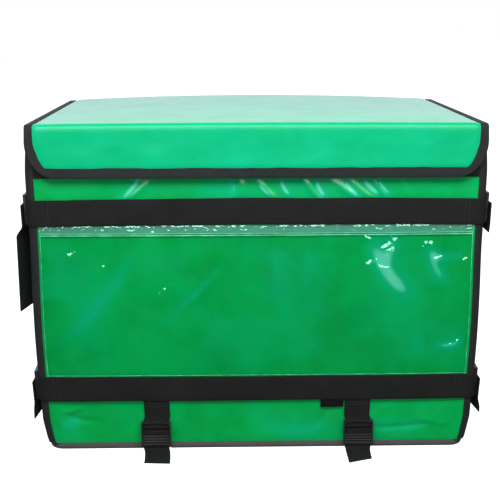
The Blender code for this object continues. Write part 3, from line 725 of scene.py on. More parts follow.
def wall_relief(a, z):
    """The creases of a wall, which fade out at its edges. The front is the most even."""
    open_wall = away_from_corners(a)
    unevenness = 1 + OPEN_SIDE_EXTRA * ease((np.abs(a) - SIDE_START) / CORNER_FADE)
    calm = edge_fade(z, WALL_Z, RIM_Z, RIM_FADE) * open_wall
    single = pinched(a, z, STRIP_CREASES) * edge_fade(z, WALL_Z, FLAP_Z - 0.004, 0.008)
    on_front = np.where(np.abs(a) < FRONT_RUN, single, 0.0)
    return cloth_relief(a, z) * unevenness * calm + on_front * open_wall


WALL_STEP = 0.005
FRONT_STEP = 0.0026


def make_wall(name, start, end, node, step=WALL_STEP):
    """One padded wall between two places around the body."""
    a = between(start, end, step)[:, None]
    share = between(0, 1, step / (RIM_Z - WALL_Z))[None, :]
    x, y, _, _ = outline(a)
    level = WALL_Z + share * (RIM_Z - WALL_Z)
    rise = WALL_Z + share * (RIM_Z + crown(x, y) - WALL_Z)
    outer = skin(a, level, wall_relief(a, level))
    inner = skin(a, level, -WALL_T)
    outer[..., 2] = rise
    inner[..., 2] = rise
    wall = closed_sheet(name, outer, inner, uv_grid(a, level), BODY_GREEN, [node], "green_cloth")
    return wall


mark_painted_sheen(make_wall("front_wall", -SIDE_START, SIDE_START, "front_panel", FRONT_STEP))
make_wall("right_wall", SIDE_START + GAP, SIDE_END - GAP, "side_panel_right")
make_wall("back_wall", SIDE_END, AROUND - SIDE_END, "back_panel")
make_wall("left_wall", AROUND - SIDE_END + GAP, AROUND - SIDE_START - GAP, "side_panel_left")
print("walls made")

# %% [markdown]
# ## The base
#
# The bottom is a stiff padded panel in dull grey cloth, with rounded corners and a rounded lower
# edge that shows as a grey line under the green. Rounded rings stacked from the floor up give it.
# Two shallow hollows underneath leave room for the tie straps.

# %% Base
BASE_CORNER_R = 0.022
BASE_EDGE_R = 0.0035
CHANNEL_H = 0.0026
tie_low, tie_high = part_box("ladder_buckle_right")
TIE_X = (tie_low.x + tie_high.x) / 2
STRAP_W = 0.0378
TIE_UNDER = 0.060
CHANNEL_HALF = STRAP_W / 2 + 0.001


def rounded_ring(half_w, half_d, radius, count):
    """Points round a rounded rectangle, evenly spaced."""
    straight_w, straight_d = 2 * (half_w - radius), 2 * (half_d - radius)
    turn = math.pi * radius / 2
    runs = [straight_w, turn, straight_d, turn, straight_w, turn, straight_d, turn]
    ends = np.cumsum(runs)
    points = []
    for s in np.arange(count) * ends[-1] / count:
        k = int(np.searchsorted(ends, s, side="right"))
        part = s - (ends[k - 1] if k else 0)
        angle = math.radians(-90 + 90 * (k // 2))
        if k % 2:
            angle += part / radius
        normal = np.array([math.cos(angle), math.sin(angle)])
        along = np.array([-normal[1], normal[0]])
        if k % 2:
            centre = np.array([(1, 1, -1, -1)[k // 2] * (half_w - radius),
                               (-1, 1, 1, -1)[k // 2] * (half_d - radius)])
            points.append(centre + radius * normal)
        else:
            start = np.array([(-1, 1, 1, -1)[k // 2] * (half_w - radius),
                              (-1, -1, 1, 1)[k // 2] * (half_d - radius)])
            points.append(start + radius * normal + along * part)
    return np.array(points)


def make_base():
    """The padded bottom as rings from the middle of its underside to the middle of its top."""
    wide, deep = (float(v) for v in profile(np.array(BASE_T)))
    half_w, half_d = HALF_W * wide, HALF_D * deep
    turns = np.radians(np.linspace(0, 90, 7))
    insets = [0.06, 0.015, *(BASE_EDGE_R * (1 - np.sin(turns))), 0.0, 0.0008, 0.004, 0.03]
    heights = [0.0, 0.0, *(BASE_EDGE_R * (1 - np.cos(turns))), BASE_T - 0.0008, BASE_T, BASE_T, BASE_T]
    rings = []
    for inset, z in zip(insets, heights):
        radius = max(BASE_CORNER_R - min(inset, BASE_EDGE_R), 0.004)
        ring = rounded_ring(half_w - inset, half_d - inset, radius, 420)
        beside_tie = np.abs(np.abs(ring[:, 0]) - TIE_X) < CHANNEL_HALF
        in_channel = beside_tie & (ring[:, 1] < -half_d + TIE_UNDER)
        lift = np.where(in_channel, np.maximum(z, CHANNEL_H), z)
        rings.append(np.column_stack([ring, lift]))
    rings = np.array(rings)
    uv = uv_grid(rings[..., 0] + rings[..., 1], rings[..., 2] + rings[..., 1])
    base = strip("base_cloth", rings, uv, BASE_GREY, ["base_panel"])


make_base()
print("base", round(BASE_T * 1000, 1), "mm thick")

# %% [markdown]
# ## The lid
#
# The lid is one padded sheet: flat on top, over a tight crease, and down as a short flap with round
# lower corners. It is made flat, as it was cut, in two numbers: how far across, and how far from the
# back edge. A bending function then lays that flat cut over the bag. The foam puffs it up a little
# inside the tape, and pulls in again under it.

# %% Lid
FLAP_CORNER_W = 0.038
FLAP_CORNER_H = 0.052
FLAP_FLARE = 0.0014
CREASE_SQUARE = 0.55
LID_TAPE_W = 0.010
FLAP_TAPE_W = 0.0145
LID_PUFF = 0.0020
TAPE_UNEVEN = 0.0006
LID_HALF = HALF_W + LID_OVER
LID_FRONT_Y = -HALF_D - OVER_TAPE - TAPE_T - GAP
LID_TOP_RUN = HALF_D - LID_FRONT_Y - LID_CREASE_R
CREASE_RUN = math.pi / 2 * LID_CREASE_R
FLAP_RUN = LID_UNDER_Z - LID_CREASE_R - FLAP_Z
LID_RUN = LID_TOP_RUN + CREASE_RUN + FLAP_RUN


def bend(s, t, out):
    """A point of the lid: s across, t from the back edge over the crease and down the flap.

    The crease is squarer than a quarter circle, because the cloth is folded tight over it.
    """
    s, t, out = np.broadcast_arrays(np.asarray(s, float), t, out)
    turn = np.clip((t - LID_TOP_RUN) / LID_CREASE_R, 0, np.pi / 2)
    down = np.maximum(t - LID_TOP_RUN - CREASE_RUN, 0)
    y_top = HALF_D - np.minimum(t, LID_TOP_RUN)
    reach = LID_CREASE_R + out
    y = y_top - reach * np.sin(turn) ** CREASE_SQUARE
    z_top = LID_UNDER_Z + out + crown(s, y_top)
    rise = crown(s, -HALF_D) * (1 - ease(down / FLAP_RUN))
    across = np.maximum(np.cos(turn), 0) ** CREASE_SQUARE
    z_front = LID_UNDER_Z - LID_CREASE_R + reach * across - down + rise
    return np.stack([s, y, np.where(t <= LID_TOP_RUN, z_top, z_front)], -1)


def flare(t):
    """How far the flap spreads outwards between its crease and its lower edge."""
    return FLAP_FLARE * np.sin(np.pi * np.clip((t - LID_TOP_RUN) / (LID_RUN - LID_TOP_RUN), 0, 1))


def lid_half(t):
    """Half the lid's width at a place along it, with round lower corners on the flap."""
    rest = np.clip((LID_RUN - t) / FLAP_CORNER_H, 0, 1)
    return LID_HALF + flare(t) - FLAP_CORNER_W * (1 - np.sqrt(1 - (1 - rest) ** 2))


def lid_relief(s, t, edge):
    """How far the lid's cloth puffs up inside its tape, with slight hollows."""
    puff = LID_PUFF * ease((edge - 0.7 * LID_TAPE_W) / 0.010)
    hollows = 0.0006 * soft_noise(s / 0.055, t / 0.035, 21) + 0.0003 * soft_noise(s / 0.02, t / 0.014, 24)
    hollows = hollows + 0.0004 * creases(s, t, 84, 0.09, 0.03, 22)
    top = 0.06 + 0.94 * ease((t - LID_TOP_RUN) / 0.01)
    return puff + hollows * top * ease(edge / 0.03) * ease(np.abs(t - LID_TOP_RUN) / 0.02)


def make_lid():
    """The lid sheet over a fine grid, closer at the crease and the round corners."""
    share = between(-1, 1, 0.0125)[:, None]
    flap = LID_RUN - FLAP_CORNER_H * (1 - np.sin(np.linspace(0, np.pi / 2, 26)))
    top = between(0, LID_TOP_RUN - 0.004, 0.0045)
    crease = between(LID_TOP_RUN - 0.0025, LID_TOP_RUN + CREASE_RUN + 0.002, 0.0009)
    flap = flap[flap > crease[-1] + 0.001]
    t = np.concatenate([top, crease, flap])[None, :]
    s = share * lid_half(t)
    edge = np.minimum(lid_half(t) - np.abs(s), LID_RUN - t)
    outer = bend(s, t, LID_T + lid_relief(s, t, edge))
    inner = bend(s, t, np.zeros_like(s))
    lid = closed_sheet("lid_cloth", outer, inner, uv_grid(s, t), LID_GREEN, ["lid_panel"], "lid_cloth")


make_lid()
print("lid", round(2 * LID_HALF, 3), "wide and", round(LID_RUN, 3), "long when flat")

# %% [markdown]
# ## The binding tape of the lid
#
# Black tape is folded over the lid's cut edge and sewn through. It runs up one side, round the flap
# and back along the other side. In the flat cut that is a path with a direction inwards at each
# point, so a C-shaped section is carried along the path and bent with the lid.

# %% Lid tape


def lid_edge():
    """Half the lid's edge from its back corner to the flap's middle: place and way inwards."""
    crease = between(LID_TOP_RUN - 0.001, LID_TOP_RUN + CREASE_RUN + 0.001, 0.0006)
    below = between(crease[-1] + 0.001, LID_RUN - FLAP_CORNER_H, 0.003)[:-1]
    straight = np.concatenate([between(0, crease[0] - 0.001, 0.004), crease, below])
    side = [(LID_HALF, t, -1.0, 0.0) for t in straight]
    for turn in np.linspace(0, np.pi / 2, 31):
        s = LID_HALF - FLAP_CORNER_W * (1 - math.cos(turn))
        t = LID_RUN - FLAP_CORNER_H * (1 - math.sin(turn))
        out_s, out_t = math.cos(turn) / FLAP_CORNER_W, math.sin(turn) / FLAP_CORNER_H
        size = math.hypot(out_s, out_t)
        side.append((s, t, -out_s / size, -out_t / size))
    last = LID_HALF - FLAP_CORNER_W
    side += [(s, LID_RUN, 0.0, -1.0) for s in between(last, 0, 0.005)[1:]]
    side = np.array(side)
    side[:, 0] += flare(side[:, 1])
    return side


def fold_section(wide, inside, thick):
    """A C-shaped section round an edge: inwards and out, for one width at each place."""
    turn = np.linspace(0, np.pi / 2, 4)
    low, high = -GAP - thick, inside + GAP + thick
    left = -GAP - thick
    over = [(wide, high), (0.6 * wide, high), (0.2 * wide, high)]
    over += [(left + thick * (1 - math.sin(q)), high - thick * (1 - math.cos(q))) for q in turn]
    over += [(left + thick * (1 - math.cos(q)), low + thick * (1 - math.sin(q))) for q in turn]
    over += [(0.5 * wide, low), (wide, low), (wide, -GAP), (-GAP, -GAP), (-GAP, inside + GAP),
             (wide, inside + GAP)]
    return np.array(over)


def whole_lid_edge():
    """The lid's edge from back corner to back corner, and the distance along it."""
    right = lid_edge()
    left = right[:-1] * np.array([-1, 1, -1, 1])
    edge = np.concatenate([left, right[::-1]])
    steps = np.hypot(*np.diff(edge[:, :2], axis=0).T)
    return edge, np.concatenate([[0], np.cumsum(steps)])


def lid_tape_width(t, along):
    """The tape is wider on the flap, and never quite even."""
    wide = LID_TAPE_W + (FLAP_TAPE_W - LID_TAPE_W) * ease((t - LID_TOP_RUN) / FLAP_RUN)
    return wide + TAPE_UNEVEN * soft_noise(along / 0.05, np.full_like(along, 0.5), 31)


def make_lid_tape():
    """The folded tape, one run from back corner to back corner."""
    edge, along = whole_lid_edge()
    rings, places = [], []
    for (s, t, ns, nt), u, wide in zip(edge, along, lid_tape_width(edge[:, 1], along)):
        section = fold_section(wide, LID_T, TAPE_T)
        rings.append(bend(s + ns * section[:, 0], t + nt * section[:, 0], section[:, 1]))
        places.append(np.column_stack([np.full(len(section), u), section[:, 0] + section[:, 1]]))
    strip("lid_tape", np.array(rings), np.array(places), TAPE, ["lid_binding"])
    return along[-1]


print("lid tape", round(float(make_lid_tape()), 3), "m long")

# %% [markdown]
# ## The cloth hinge
#
# Behind, a strip of the same cloth is sewn to the lid's back edge and to the back wall. The lid
# turns on it. It is a thin closed sheet on the skin.

# %% Hinge strip
HINGE_H = 0.032
HINGE_SIDE = 0.004


def make_hinge():
    """The strip from the back wall up to the middle of the lid's edge."""
    start = BACK_START + HINGE_SIDE
    a = between(start, AROUND - start, 0.006)[:, None]
    share = np.linspace(0, 1, 12)[None, :]
    x, y, _, _ = outline(a)
    top = LID_UNDER_Z + 0.5 * LID_T + crown(x, y)
    low = HEIGHT - HINGE_H
    ripple = 0.0003 * soft_noise(a / 0.03, share * 2, 41) * np.sin(np.pi * share)
    sheets = []
    for out in (GAP + TAPE_T + ripple, GAP + ripple):
        points = skin(a, low + share * (HEIGHT - low), out)
        points[..., 2] = low + share * (top - low)
        sheets.append(points)
    hinge = closed_sheet("hinge_cloth", *sheets, uv_grid(a, share * HINGE_H), BODY_GREEN,
                         ["lid_hinge"], "green_cloth")


make_hinge()

# %% [markdown]
# ## Tape on the upright corners
#
# Each corner seam is covered by black tape. It lies on the skin round the corner, so it is a strip
# whose section runs round the body and whose path goes up.

# %% Corner tape


def upright_strip(name, start, end, low, high, out, thick, material, nodes, slot):
    """Tape that runs up the body between two places around it."""
    x, off = flat_section(end - start, thick, 13)
    z = between(low, high, 0.004)[:, None]
    a = (start + end) / 2 + x[None, :]
    rings = skin(a, z, out + thick / 2 + off[None, :])
    strip(name, rings, uv_grid(z, x[None, :]), material, nodes)


def make_corner_tapes():
    """The four corner tapes."""
    front = (FRONT_RUN - CORNER_TAPE_FRONT, SIDE_START + CORNER_TAPE_SIDE)
    back = (SIDE_END - CORNER_TAPE_SIDE, BACK_START + CORNER_TAPE_FRONT)
    top = LID_UNDER_Z - LID_CREASE_R - GAP
    for end, (start, stop) in (("front", front), ("rear", back)):
        for side, sign in SIDES:
            ends = sorted((sign * start, sign * stop))
            upright_strip(f"corner_tape_{end}_{side}", *ends, WALL_Z, top, GAP, TAPE_T, TAPE,
                          [f"corner_binding_{end}_{side}"], "black_tape")


make_corner_tapes()
print("corner tapes made")

# %% [markdown]
# ## The band under the flap
#
# A black band runs across the front wall behind the flap's lower edge. It is painted shade: a dark
# strip that stands in for the shadow in the gap under the flap. Only a thin line of it shows below the
# flap, and a little more at the two round corners. It is one more strip on the skin.

# %% Painted shade band under the flap
# The height of the painted shade strip under the flap.
SHADE_BAND_H = 0.022


def make_painted_shade_band():
    """The black strip behind the flap's lower edge, painted shade for the shadow under the flap."""
    x, off = flat_section(SHADE_BAND_H, TAPE_T, 5)
    reach = FRONT_RUN - CORNER_TAPE_FRONT - GAP
    a = between(-reach, reach, 0.006)[:, None]
    low = HEIGHT - FLAP_DROP - 0.0004
    rings = skin(a, low + SHADE_BAND_H / 2 + x[None, :], GAP + TAPE_T / 2 + off[None, :])
    strip("painted_shade_under_flap", rings, uv_grid(a, x[None, :]), WEBBING, [])


make_painted_shade_band()
print("band", round(SHADE_BAND_H * 1000), "mm high")

# %% [markdown]
# ## The clear pocket
#
# The film starts behind the lower belt and ends under the upper one, with a folded hem along its
# top. It is stretched over the cloth, so it carries a few long creases, and it crinkles where it is
# sewn. The film follows the cloth's own relief, and its crinkles only ever lift it off the cloth.

# %% Film pocket
FILM_T = 0.0005
HEM_H = 0.0125
HEM_T = 0.0006
WELD_T = 0.0004
CRINKLED_STEP = 0.0014
pocket_low, pocket_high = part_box("clear_pocket")
FILM_HALF = FRONT_RUN - CORNER_TAPE_FRONT - 0.0025


FILM_CREASES = (
    # across, up, half length, half width, tilt, height
    (-0.264, 0.298, 0.009, 0.0026, 28, 0.0016),
    (-0.220, 0.279, 0.005, 0.0022, 40, 0.0014),
    (-0.148, 0.232, 0.030, 0.0020, 42, 0.0009),
    (-0.120, 0.258, 0.012, 0.0022, 55, 0.0013),
    (-0.104, 0.270, 0.010, 0.0022, 52, 0.0014),
    (-0.132, 0.243, 0.006, 0.0020, 80, 0.0011),
    (-0.143, 0.219, 0.012, 0.0020, 44, 0.0011),
    (-0.138, 0.190, 0.006, 0.0022, 84, 0.0014),
    (-0.235, 0.190, 0.016, 0.0034, 12, 0.0010),
    (-0.128, 0.180, 0.026, 0.0038, 24, 0.0008),
    (-0.225, 0.245, 0.050, 0.0060, 52, 0.0009),
    (0.156, 0.3205, 0.006, 0.0022, -35, 0.0015),
    (0.181, 0.3060, 0.006, 0.0022, 30, 0.0016),
    (0.187, 0.3110, 0.004, 0.0020, -50, 0.0015),
    (0.197, 0.3170, 0.004, 0.0022, 20, 0.0016),
    (0.195, 0.3090, 0.010, 0.0020, 80, 0.0013),
    (0.190, 0.2980, 0.008, 0.0020, 50, 0.0014),
    (0.162, 0.2840, 0.005, 0.0022, 60, 0.0015),
    (0.176, 0.2780, 0.004, 0.0026, -30, 0.0018),
    (0.184, 0.2765, 0.005, 0.0022, 4, 0.0016),
    (0.241, 0.3120, 0.003, 0.0024, 10, 0.0017),
    (0.248, 0.3120, 0.003, 0.0024, -20, 0.0017),
    (0.256, 0.2895, 0.005, 0.0024, 4, 0.0017),
    (0.265, 0.2905, 0.005, 0.0024, -45, 0.0017),
    (0.298, 0.2880, 0.005, 0.0030, 40, 0.0018),
    (0.284, 0.1600, 0.011, 0.0028, 20, 0.0018),
    (0.205, 0.214, 0.014, 0.0030, 22, 0.0009),
    (0.150, 0.168, 0.012, 0.0034, 34, 0.0009),
    (0.190, 0.160, 0.016, 0.0024, 2, 0.0010),
    (0.080, 0.185, 0.014, 0.0030, 24, 0.0007),
)
FILM_CRINKLES = (
    # across, up, radius, strength
    (0.190, 0.303, 0.020, 1.9),
    (0.165, 0.282, 0.012, 1.5),
    (0.245, 0.306, 0.014, 1.4),
    (0.300, 0.300, 0.016, 1.0),
    (0.200, 0.160, 0.024, 0.5),
    (0.290, 0.165, 0.014, 1.2),
    (-0.285, 0.150, 0.018, 0.6),
    (-0.270, 0.290, 0.020, 0.6),
    (-0.135, 0.240, 0.016, 1.1),
)


def film_lift(a, z):
    """How far the film stands off the cloth behind it."""
    low, high = pocket_low.z, pocket_high.z
    calm = edge_fade(z, low + 0.002, high + 0.02, 0.02) * edge_fade(a, -FILM_HALF, FILM_HALF, 0.004)
    long = creases(a, z, 42, 0.11, 0.028, 51) + 0.8 * creases(a, z, 100, 0.08, 0.02, 55)
    crinkled = 0.12 + 0.5 * np.exp(-((high - z) / 0.022) ** 2)
    for at_a, at_z, radius, strength in FILM_CRINKLES:
        crinkled = crinkled + strength * np.exp(-((a - at_a) ** 2 + (z - at_z) ** 2) / radius ** 2)
    fine = np.abs(soft_noise(a / 0.011, z / 0.009, 58)) + 0.5 * np.abs(soft_noise(a / 0.005, z / 0.005, 59))
    lift = 0.0007 * long + 0.0013 * fine * crinkled + pinched(a, z, FILM_CREASES)
    return np.maximum(lift, 0) * calm


def make_film():
    """The film sheet, on a finer grid where it crinkles."""
    a = np.concatenate([between(-FILM_HALF, -0.08, CRINKLED_STEP), between(-0.077, 0.137, 0.003),
                        between(0.140, FILM_HALF, CRINKLED_STEP)])[:, None]
    z = np.concatenate([between(pocket_low.z, 0.175, 0.0025),
                        between(0.1765, pocket_high.z, CRINKLED_STEP)])
    base = GAP + film_lift(a, z)
    return closed_sheet("clear_film_pocket", skin(a, z, base + FILM_T), skin(a, z, base), uv_grid(a, z),
                        FILM, ["clear_pocket"], "clear_film")


def make_hem():
    """The folded hem along the film's top edge, thicker and more crinkled."""
    a = between(-FILM_HALF, FILM_HALF, 0.0011)[:, None]
    high = pocket_high.z
    z = between(high - HEM_H, high, 0.0008)[None, :]
    share = (z - high + HEM_H) / HEM_H
    broad, fine = soft_noise(a / 0.0075, z / 0.006, 61), soft_noise(a / 0.003, z / 0.004, 62)
    ripple = np.abs(broad) + 0.5 * np.abs(fine)
    lift = 0.0002 + 0.0011 * ripple * np.sin(np.pi * np.clip(share, 0.02, 0.98)) ** 0.5
    base = 2 * GAP + FILM_T + film_lift(a, z) + lift
    return closed_sheet("film_hem", skin(a, z, base + HEM_T), skin(a, z, base), uv_grid(a, z),
                        HEM_FILM, [], "clear_film")


def make_weld(name, a, z, wide, material):
    """A pale welded line on the film through places around and up the body."""
    x, off = flat_section(wide, WELD_T, 5)
    ahead = np.gradient(np.column_stack([a, z]), axis=0)
    ahead /= np.hypot(*ahead.T)[:, None]
    lift = GAP + FILM_T + film_lift(a, z) + WELD_T
    rings = skin(a[:, None] - ahead[:, 1:] * x, z[:, None] + ahead[:, :1] * x, lift[:, None] + off)
    along = np.concatenate([[0], np.cumsum(np.hypot(np.diff(a), np.diff(z)))])
    return strip(name, rings, uv_grid(along[:, None], x[None, :]), material, [])


def make_welds():
    """The welded lines: two under the hem, one down each side and one along the foot."""
    level = between(-FILM_HALF + 0.001, FILM_HALF - 0.001, 0.003)
    upright = between(pocket_low.z + 0.001, pocket_high.z - 0.001, 0.003)
    welds = [make_weld(f"film_weld_{name}", level, np.full_like(level, z), wide, material)
             for name, z, wide, material in (
                 ("hem_upper", pocket_high.z - HEM_H + 0.0006, 0.0009, HEM_WELD),
                 ("hem_lower", pocket_high.z - HEM_H - 0.0022, 0.0011, HEM_WELD),
                 ("foot", LOWER_BELT_Z + WEB_W / 2 + 0.0012, 0.0010, WELD))]
    for side, sign in SIDES:
        place = sign * (FILM_HALF - 0.0008)
        welds.append(make_weld(f"film_weld_{side}", np.full_like(upright, place), upright, 0.0010, WELD))
    return welds


film = make_film()
hem = make_hem()
welds = make_welds()
print("film", round(2 * FILM_HALF, 3), "by", round(pocket_high.z - pocket_low.z, 3), "m")

# %% [markdown]
# ## The belts
#
# Two belts of 38 mm webbing go round the body. Each has a front and a rear run that meet under the
# side buckles. The section is a flat bar with round edges, carried round the skin. Small slow waves
# keep the edges from looking ruled.

# %% Belts
SIDE_BUCKLE_H = 0.044
SIDE_BUCKLE_L = 0.034
SIDE_BUCKLE_T = 0.0042
SIDE_BUCKLE_BEHIND = 0.004
MEET = SIDE_START + SIDE_BUCKLE_BEHIND + SIDE_BUCKLE_L / 2
BELT_SAG = 0.0026
BELT_WAVE = 0.0006
BELT_SLACK = 0.0003


def belt_slack(a, seed):
    """How far a belt stands off here and there."""
    return BELT_SLACK * np.abs(soft_noise(a / 0.05, np.full_like(a, 0.3), seed + 1))


def belt_sag(a, level):
    """How far the upper belt drops towards its front corners. It is level again at its buckles."""
    b = np.abs(a)
    drop = BELT_SAG * np.minimum(b / FRONT_RUN, 1) ** 2 * ease((MEET - b) / 0.03)
    return drop if level == UPPER_BELT_Z else 0 * b


def make_belt(name, start, end, z, node, seed):
    """One run of webbing round the body at a height."""
    x, off = flat_section(WEB_W, WEB_T, 9)
    a = between(start, end, 0.004)[:, None]
    wave = BELT_WAVE * soft_noise(a / 0.09, np.full_like(a, 0.5), seed)
    out = BELT_OUT + WEB_T / 2 + off[None, :] + belt_slack(a, seed)
    rings = skin(a, z + wave - belt_sag(a, z) + x[None, :], out)
    strip(name, rings, uv_grid(a, x[None, :]), WEBBING, [node])


BELTS = (("upper", UPPER_BELT_Z, 70), ("lower", LOWER_BELT_Z, 80))
for level, z, seed in BELTS:
    make_belt(f"{level}_belt_across_front", -MEET + GAP, MEET - GAP, z, f"{level}_belt_front", seed)
    make_belt(f"{level}_belt_round_back", MEET + GAP, AROUND - MEET - GAP, z, f"{level}_belt_rear",
              seed + 5)
print("belts at", round(UPPER_BELT_Z, 4), "and", round(LOWER_BELT_Z, 4), "m")

# %% [markdown]
# ## Side buckles and free belt ends
#
# Right behind each front corner the belts pass through a flat moulded frame with two slots. The
# free end of the belt lies over it and hangs down. Moulded plastic has rounded edges everywhere, so
# the frame gets a bevel, and the free ends are strips of the same webbing.

# %% Side buckles
BELT_TAILS = (
    # side, belt, hang, lean, flare in degrees, droop
    ("left", "upper", 0.146, 0.0040, 20, 0.004),
    ("right", "upper", 0.033, 0.0045, 5, 0.004),
    ("left", "lower", 0.048, 0.0040, 8, 0.003),
    ("right", "lower", 0.043, 0.0035, 10, 0.004),
)
TAIL_ABOVE = 0.008
TAIL_FORWARD = 0.007
TAIL_BEND = 0.014
SIDE_BUCKLE_BEVEL = 0.0012


def bevelled_copy(node, name, width, material):
    """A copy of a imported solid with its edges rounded."""
    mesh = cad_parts[node].data.copy()
    mesh.name = name
    work = bmesh.new()
    work.from_mesh(mesh)
    bmesh.ops.remove_doubles(work, verts=work.verts, dist=0.00002)
    bmesh.ops.dissolve_limit(work, angle_limit=math.radians(4), verts=work.verts, edges=work.edges)
    sharp = [e for e in work.edges if e.calc_face_angle(0) > math.radians(35)]
    bmesh.ops.bevel(work, geom=sharp, offset=width, segments=3, profile=0.6, affect="EDGES",
                    clamp_overlap=True)
    bmesh.ops.triangulate(work, faces=work.faces)
    work.to_mesh(mesh)
    work.free()
    mesh.materials.clear()
    mesh.materials.append(material)
    mesh.shade_smooth()
    mesh.set_sharp_from_angle(angle=math.radians(SHARP_PLASTIC))
    on_body(name, mesh, [node])


for level in ("upper", "lower"):
    for side, _ in SIDES:
        bevelled_copy(f"{level}_buckle_{side}", f"{level}_belt_buckle_{side}", SIDE_BUCKLE_BEVEL, PLASTIC)


def make_tail(side, level, hang, lean, flare, droop):
    """One free belt end, flat on its buckle and turned outwards below it."""
    sign = dict(SIDES)[side]
    belt_z = UPPER_BELT_Z if level == "upper" else LOWER_BELT_Z
    over = BUCKLE_OUT + SIDE_BUCKLE_T + 2 * GAP + WEB_T / 2
    place = MEET - TAIL_FORWARD
    low, high = belt_z - SIDE_BUCKLE_H / 2, belt_z + SIDE_BUCKLE_H / 2
    low_x, high_x = (float(skin(place + WEB_W / 2, z, over)[0]) for z in (low, high))
    y = float(skin(place, belt_z, over)[1])
    x, off = flat_section(WEB_W, WEB_T, 9)
    rings = []
    heights = between(belt_z + TAIL_ABOVE, belt_z - hang, 0.002)
    for z in heights:
        free = float(ease((low - z) / TAIL_BEND))
        turn = math.radians(flare) * free
        rest = low_x + (high_x - low_x) * max(z - low, 0) / (high - low)
        out = rest - lean * free + WEB_W / 2 * math.sin(turn)
        across = np.array([sign * math.sin(turn), -math.cos(turn), -droop * free / WEB_W])
        thick = np.array([sign * math.cos(turn), math.sin(turn), 0])
        centre = np.array([sign * out, y, z])
        rings.append(centre + x[:, None] * across + off[:, None] * thick)
    uv = uv_grid(heights[:, None], x[None, :])
    strip(f"{level}_free_end_{side}", np.array(rings), uv, WEBBING, [f"{level}_tail_{side}"])


for row in BELT_TAILS:
    make_tail(*row)
print("side buckles and free ends made")

# %% [markdown]
# ## Tie straps and their ladder buckles
#
# At the foot of the front, a short strap comes down from the lower belt and holds a ladder buckle.
# A second strap comes from under the base, goes up behind the buckle, over its middle bar and out
# on the floor.

# %% Tie straps
LADDER_TOP_Z = 0.0445
LADDER_PIN_Z = 0.0378
LADDER_MID_Z = 0.0298
LADDER_TAB_Z = 0.0168
LADDER_TAB_H = 0.017
LADDER_BAR_T = 0.0024
LADDER_BAR_OUT = 0.0032
LADDER_BEVEL = 0.0007
TIE_BEND_R = 0.0028
TIE_OFF_FLOOR = 0.0006
TIE_ENDS = (
    # side, reach, drift, turn
    ("left", 0.051, 0.004, -4),
    ("right", 0.048, -0.001, 21),
)


def front_place(x, out, z):
    """A point in front of the foot of the bag, at a distance off its face beside the buckles."""
    face = float(skin(TIE_X, LADDER_TOP_Z + LADDER_BAR_T, 0.0)[1])
    return np.array([x, face - out, z])


def smooth_path(points, count):
    """Evenly numbered points on a smooth curve through the given ones."""
    points = np.asarray(points, float)
    last = len(points) - 1
    at = np.linspace(0, last, count)
    i = np.clip(np.floor(at).astype(int), 0, last - 1)
    a, b = points[np.maximum(i - 1, 0)], points[i]
    c, d = points[i + 1], points[np.minimum(i + 2, last)]
    return curve_between(a, b, c, d, (at - i)[:, None])


def webbing_along(name, centres, across, wide, nodes):
    """Webbing along a line of centres, each with the direction of its width."""
    x, off = flat_section(wide, WEB_T, 9)
    ahead = np.gradient(centres, axis=0)
    ahead /= np.linalg.norm(ahead, axis=1)[:, None]
    up = np.cross(across, ahead)
    up /= np.linalg.norm(up, axis=1)[:, None]
    rings = centres[:, None] + x[None, :, None] * across[:, None] + off[None, :, None] * up[:, None]
    steps = np.linalg.norm(np.diff(centres, axis=0), axis=1)
    u = np.concatenate([[0], np.cumsum(steps)])[:, None]
    strip(name, rings, uv_grid(u, x[None, :]), WEBBING, nodes)


def make_tie(side, reach, drift, turn):
    """One tie strap from under the base to its end on the floor."""
    x = dict(SIDES)[side] * TIE_X
    wrap = LADDER_BAR_T / 2 + GAP + WEB_T / 2
    floor = TIE_OFF_FLOOR + WEB_T / 2
    behind, ahead = LADDER_BAR_OUT - wrap, LADDER_BAR_OUT + wrap
    tab_low = LADDER_TAB_Z - LADDER_TAB_H / 2
    start = behind - TIE_BEND_R
    route = [(-TIE_UNDER, floor), (-0.5 * TIE_UNDER, floor), (start, floor)]
    route += [(start + TIE_BEND_R * math.sin(q), floor + TIE_BEND_R * (1 - math.cos(q)))
              for q in np.radians((30, 60, 90))]
    route += [(behind, LADDER_TAB_Z), (behind, LADDER_MID_Z)]
    route += [(LADDER_BAR_OUT - wrap * math.cos(q), LADDER_MID_Z + wrap * math.sin(q))
              for q in np.radians(np.arange(30, 181, 30))]
    route += [(ahead, LADDER_TAB_Z), (ahead, tab_low - 0.0005)]
    tail = len(route)
    route += [(ahead + 0.0012, tab_low - 0.0032), (ahead + 0.0045, 0.0042), (0.25 * reach, 0.0026)]
    route += [(0.45 * reach, floor + 0.0003), (0.72 * reach, floor), (reach, floor)]
    share = ease(np.maximum(np.arange(len(route)) - tail + 1, 0) / (len(route) - tail))
    line = [front_place(x + drift * q, out, z) for q, (out, z) in zip(share, route)]
    angle = np.radians(turn) * share
    ways = np.column_stack([np.cos(angle), np.sin(angle), np.zeros(len(angle))])
    count = 8 * len(route)
    webbing_along(f"tie_strap_webbing_{side}", smooth_path(line, count), smooth_path(ways, count),
                  STRAP_W, [f"tie_strap_{side}"])


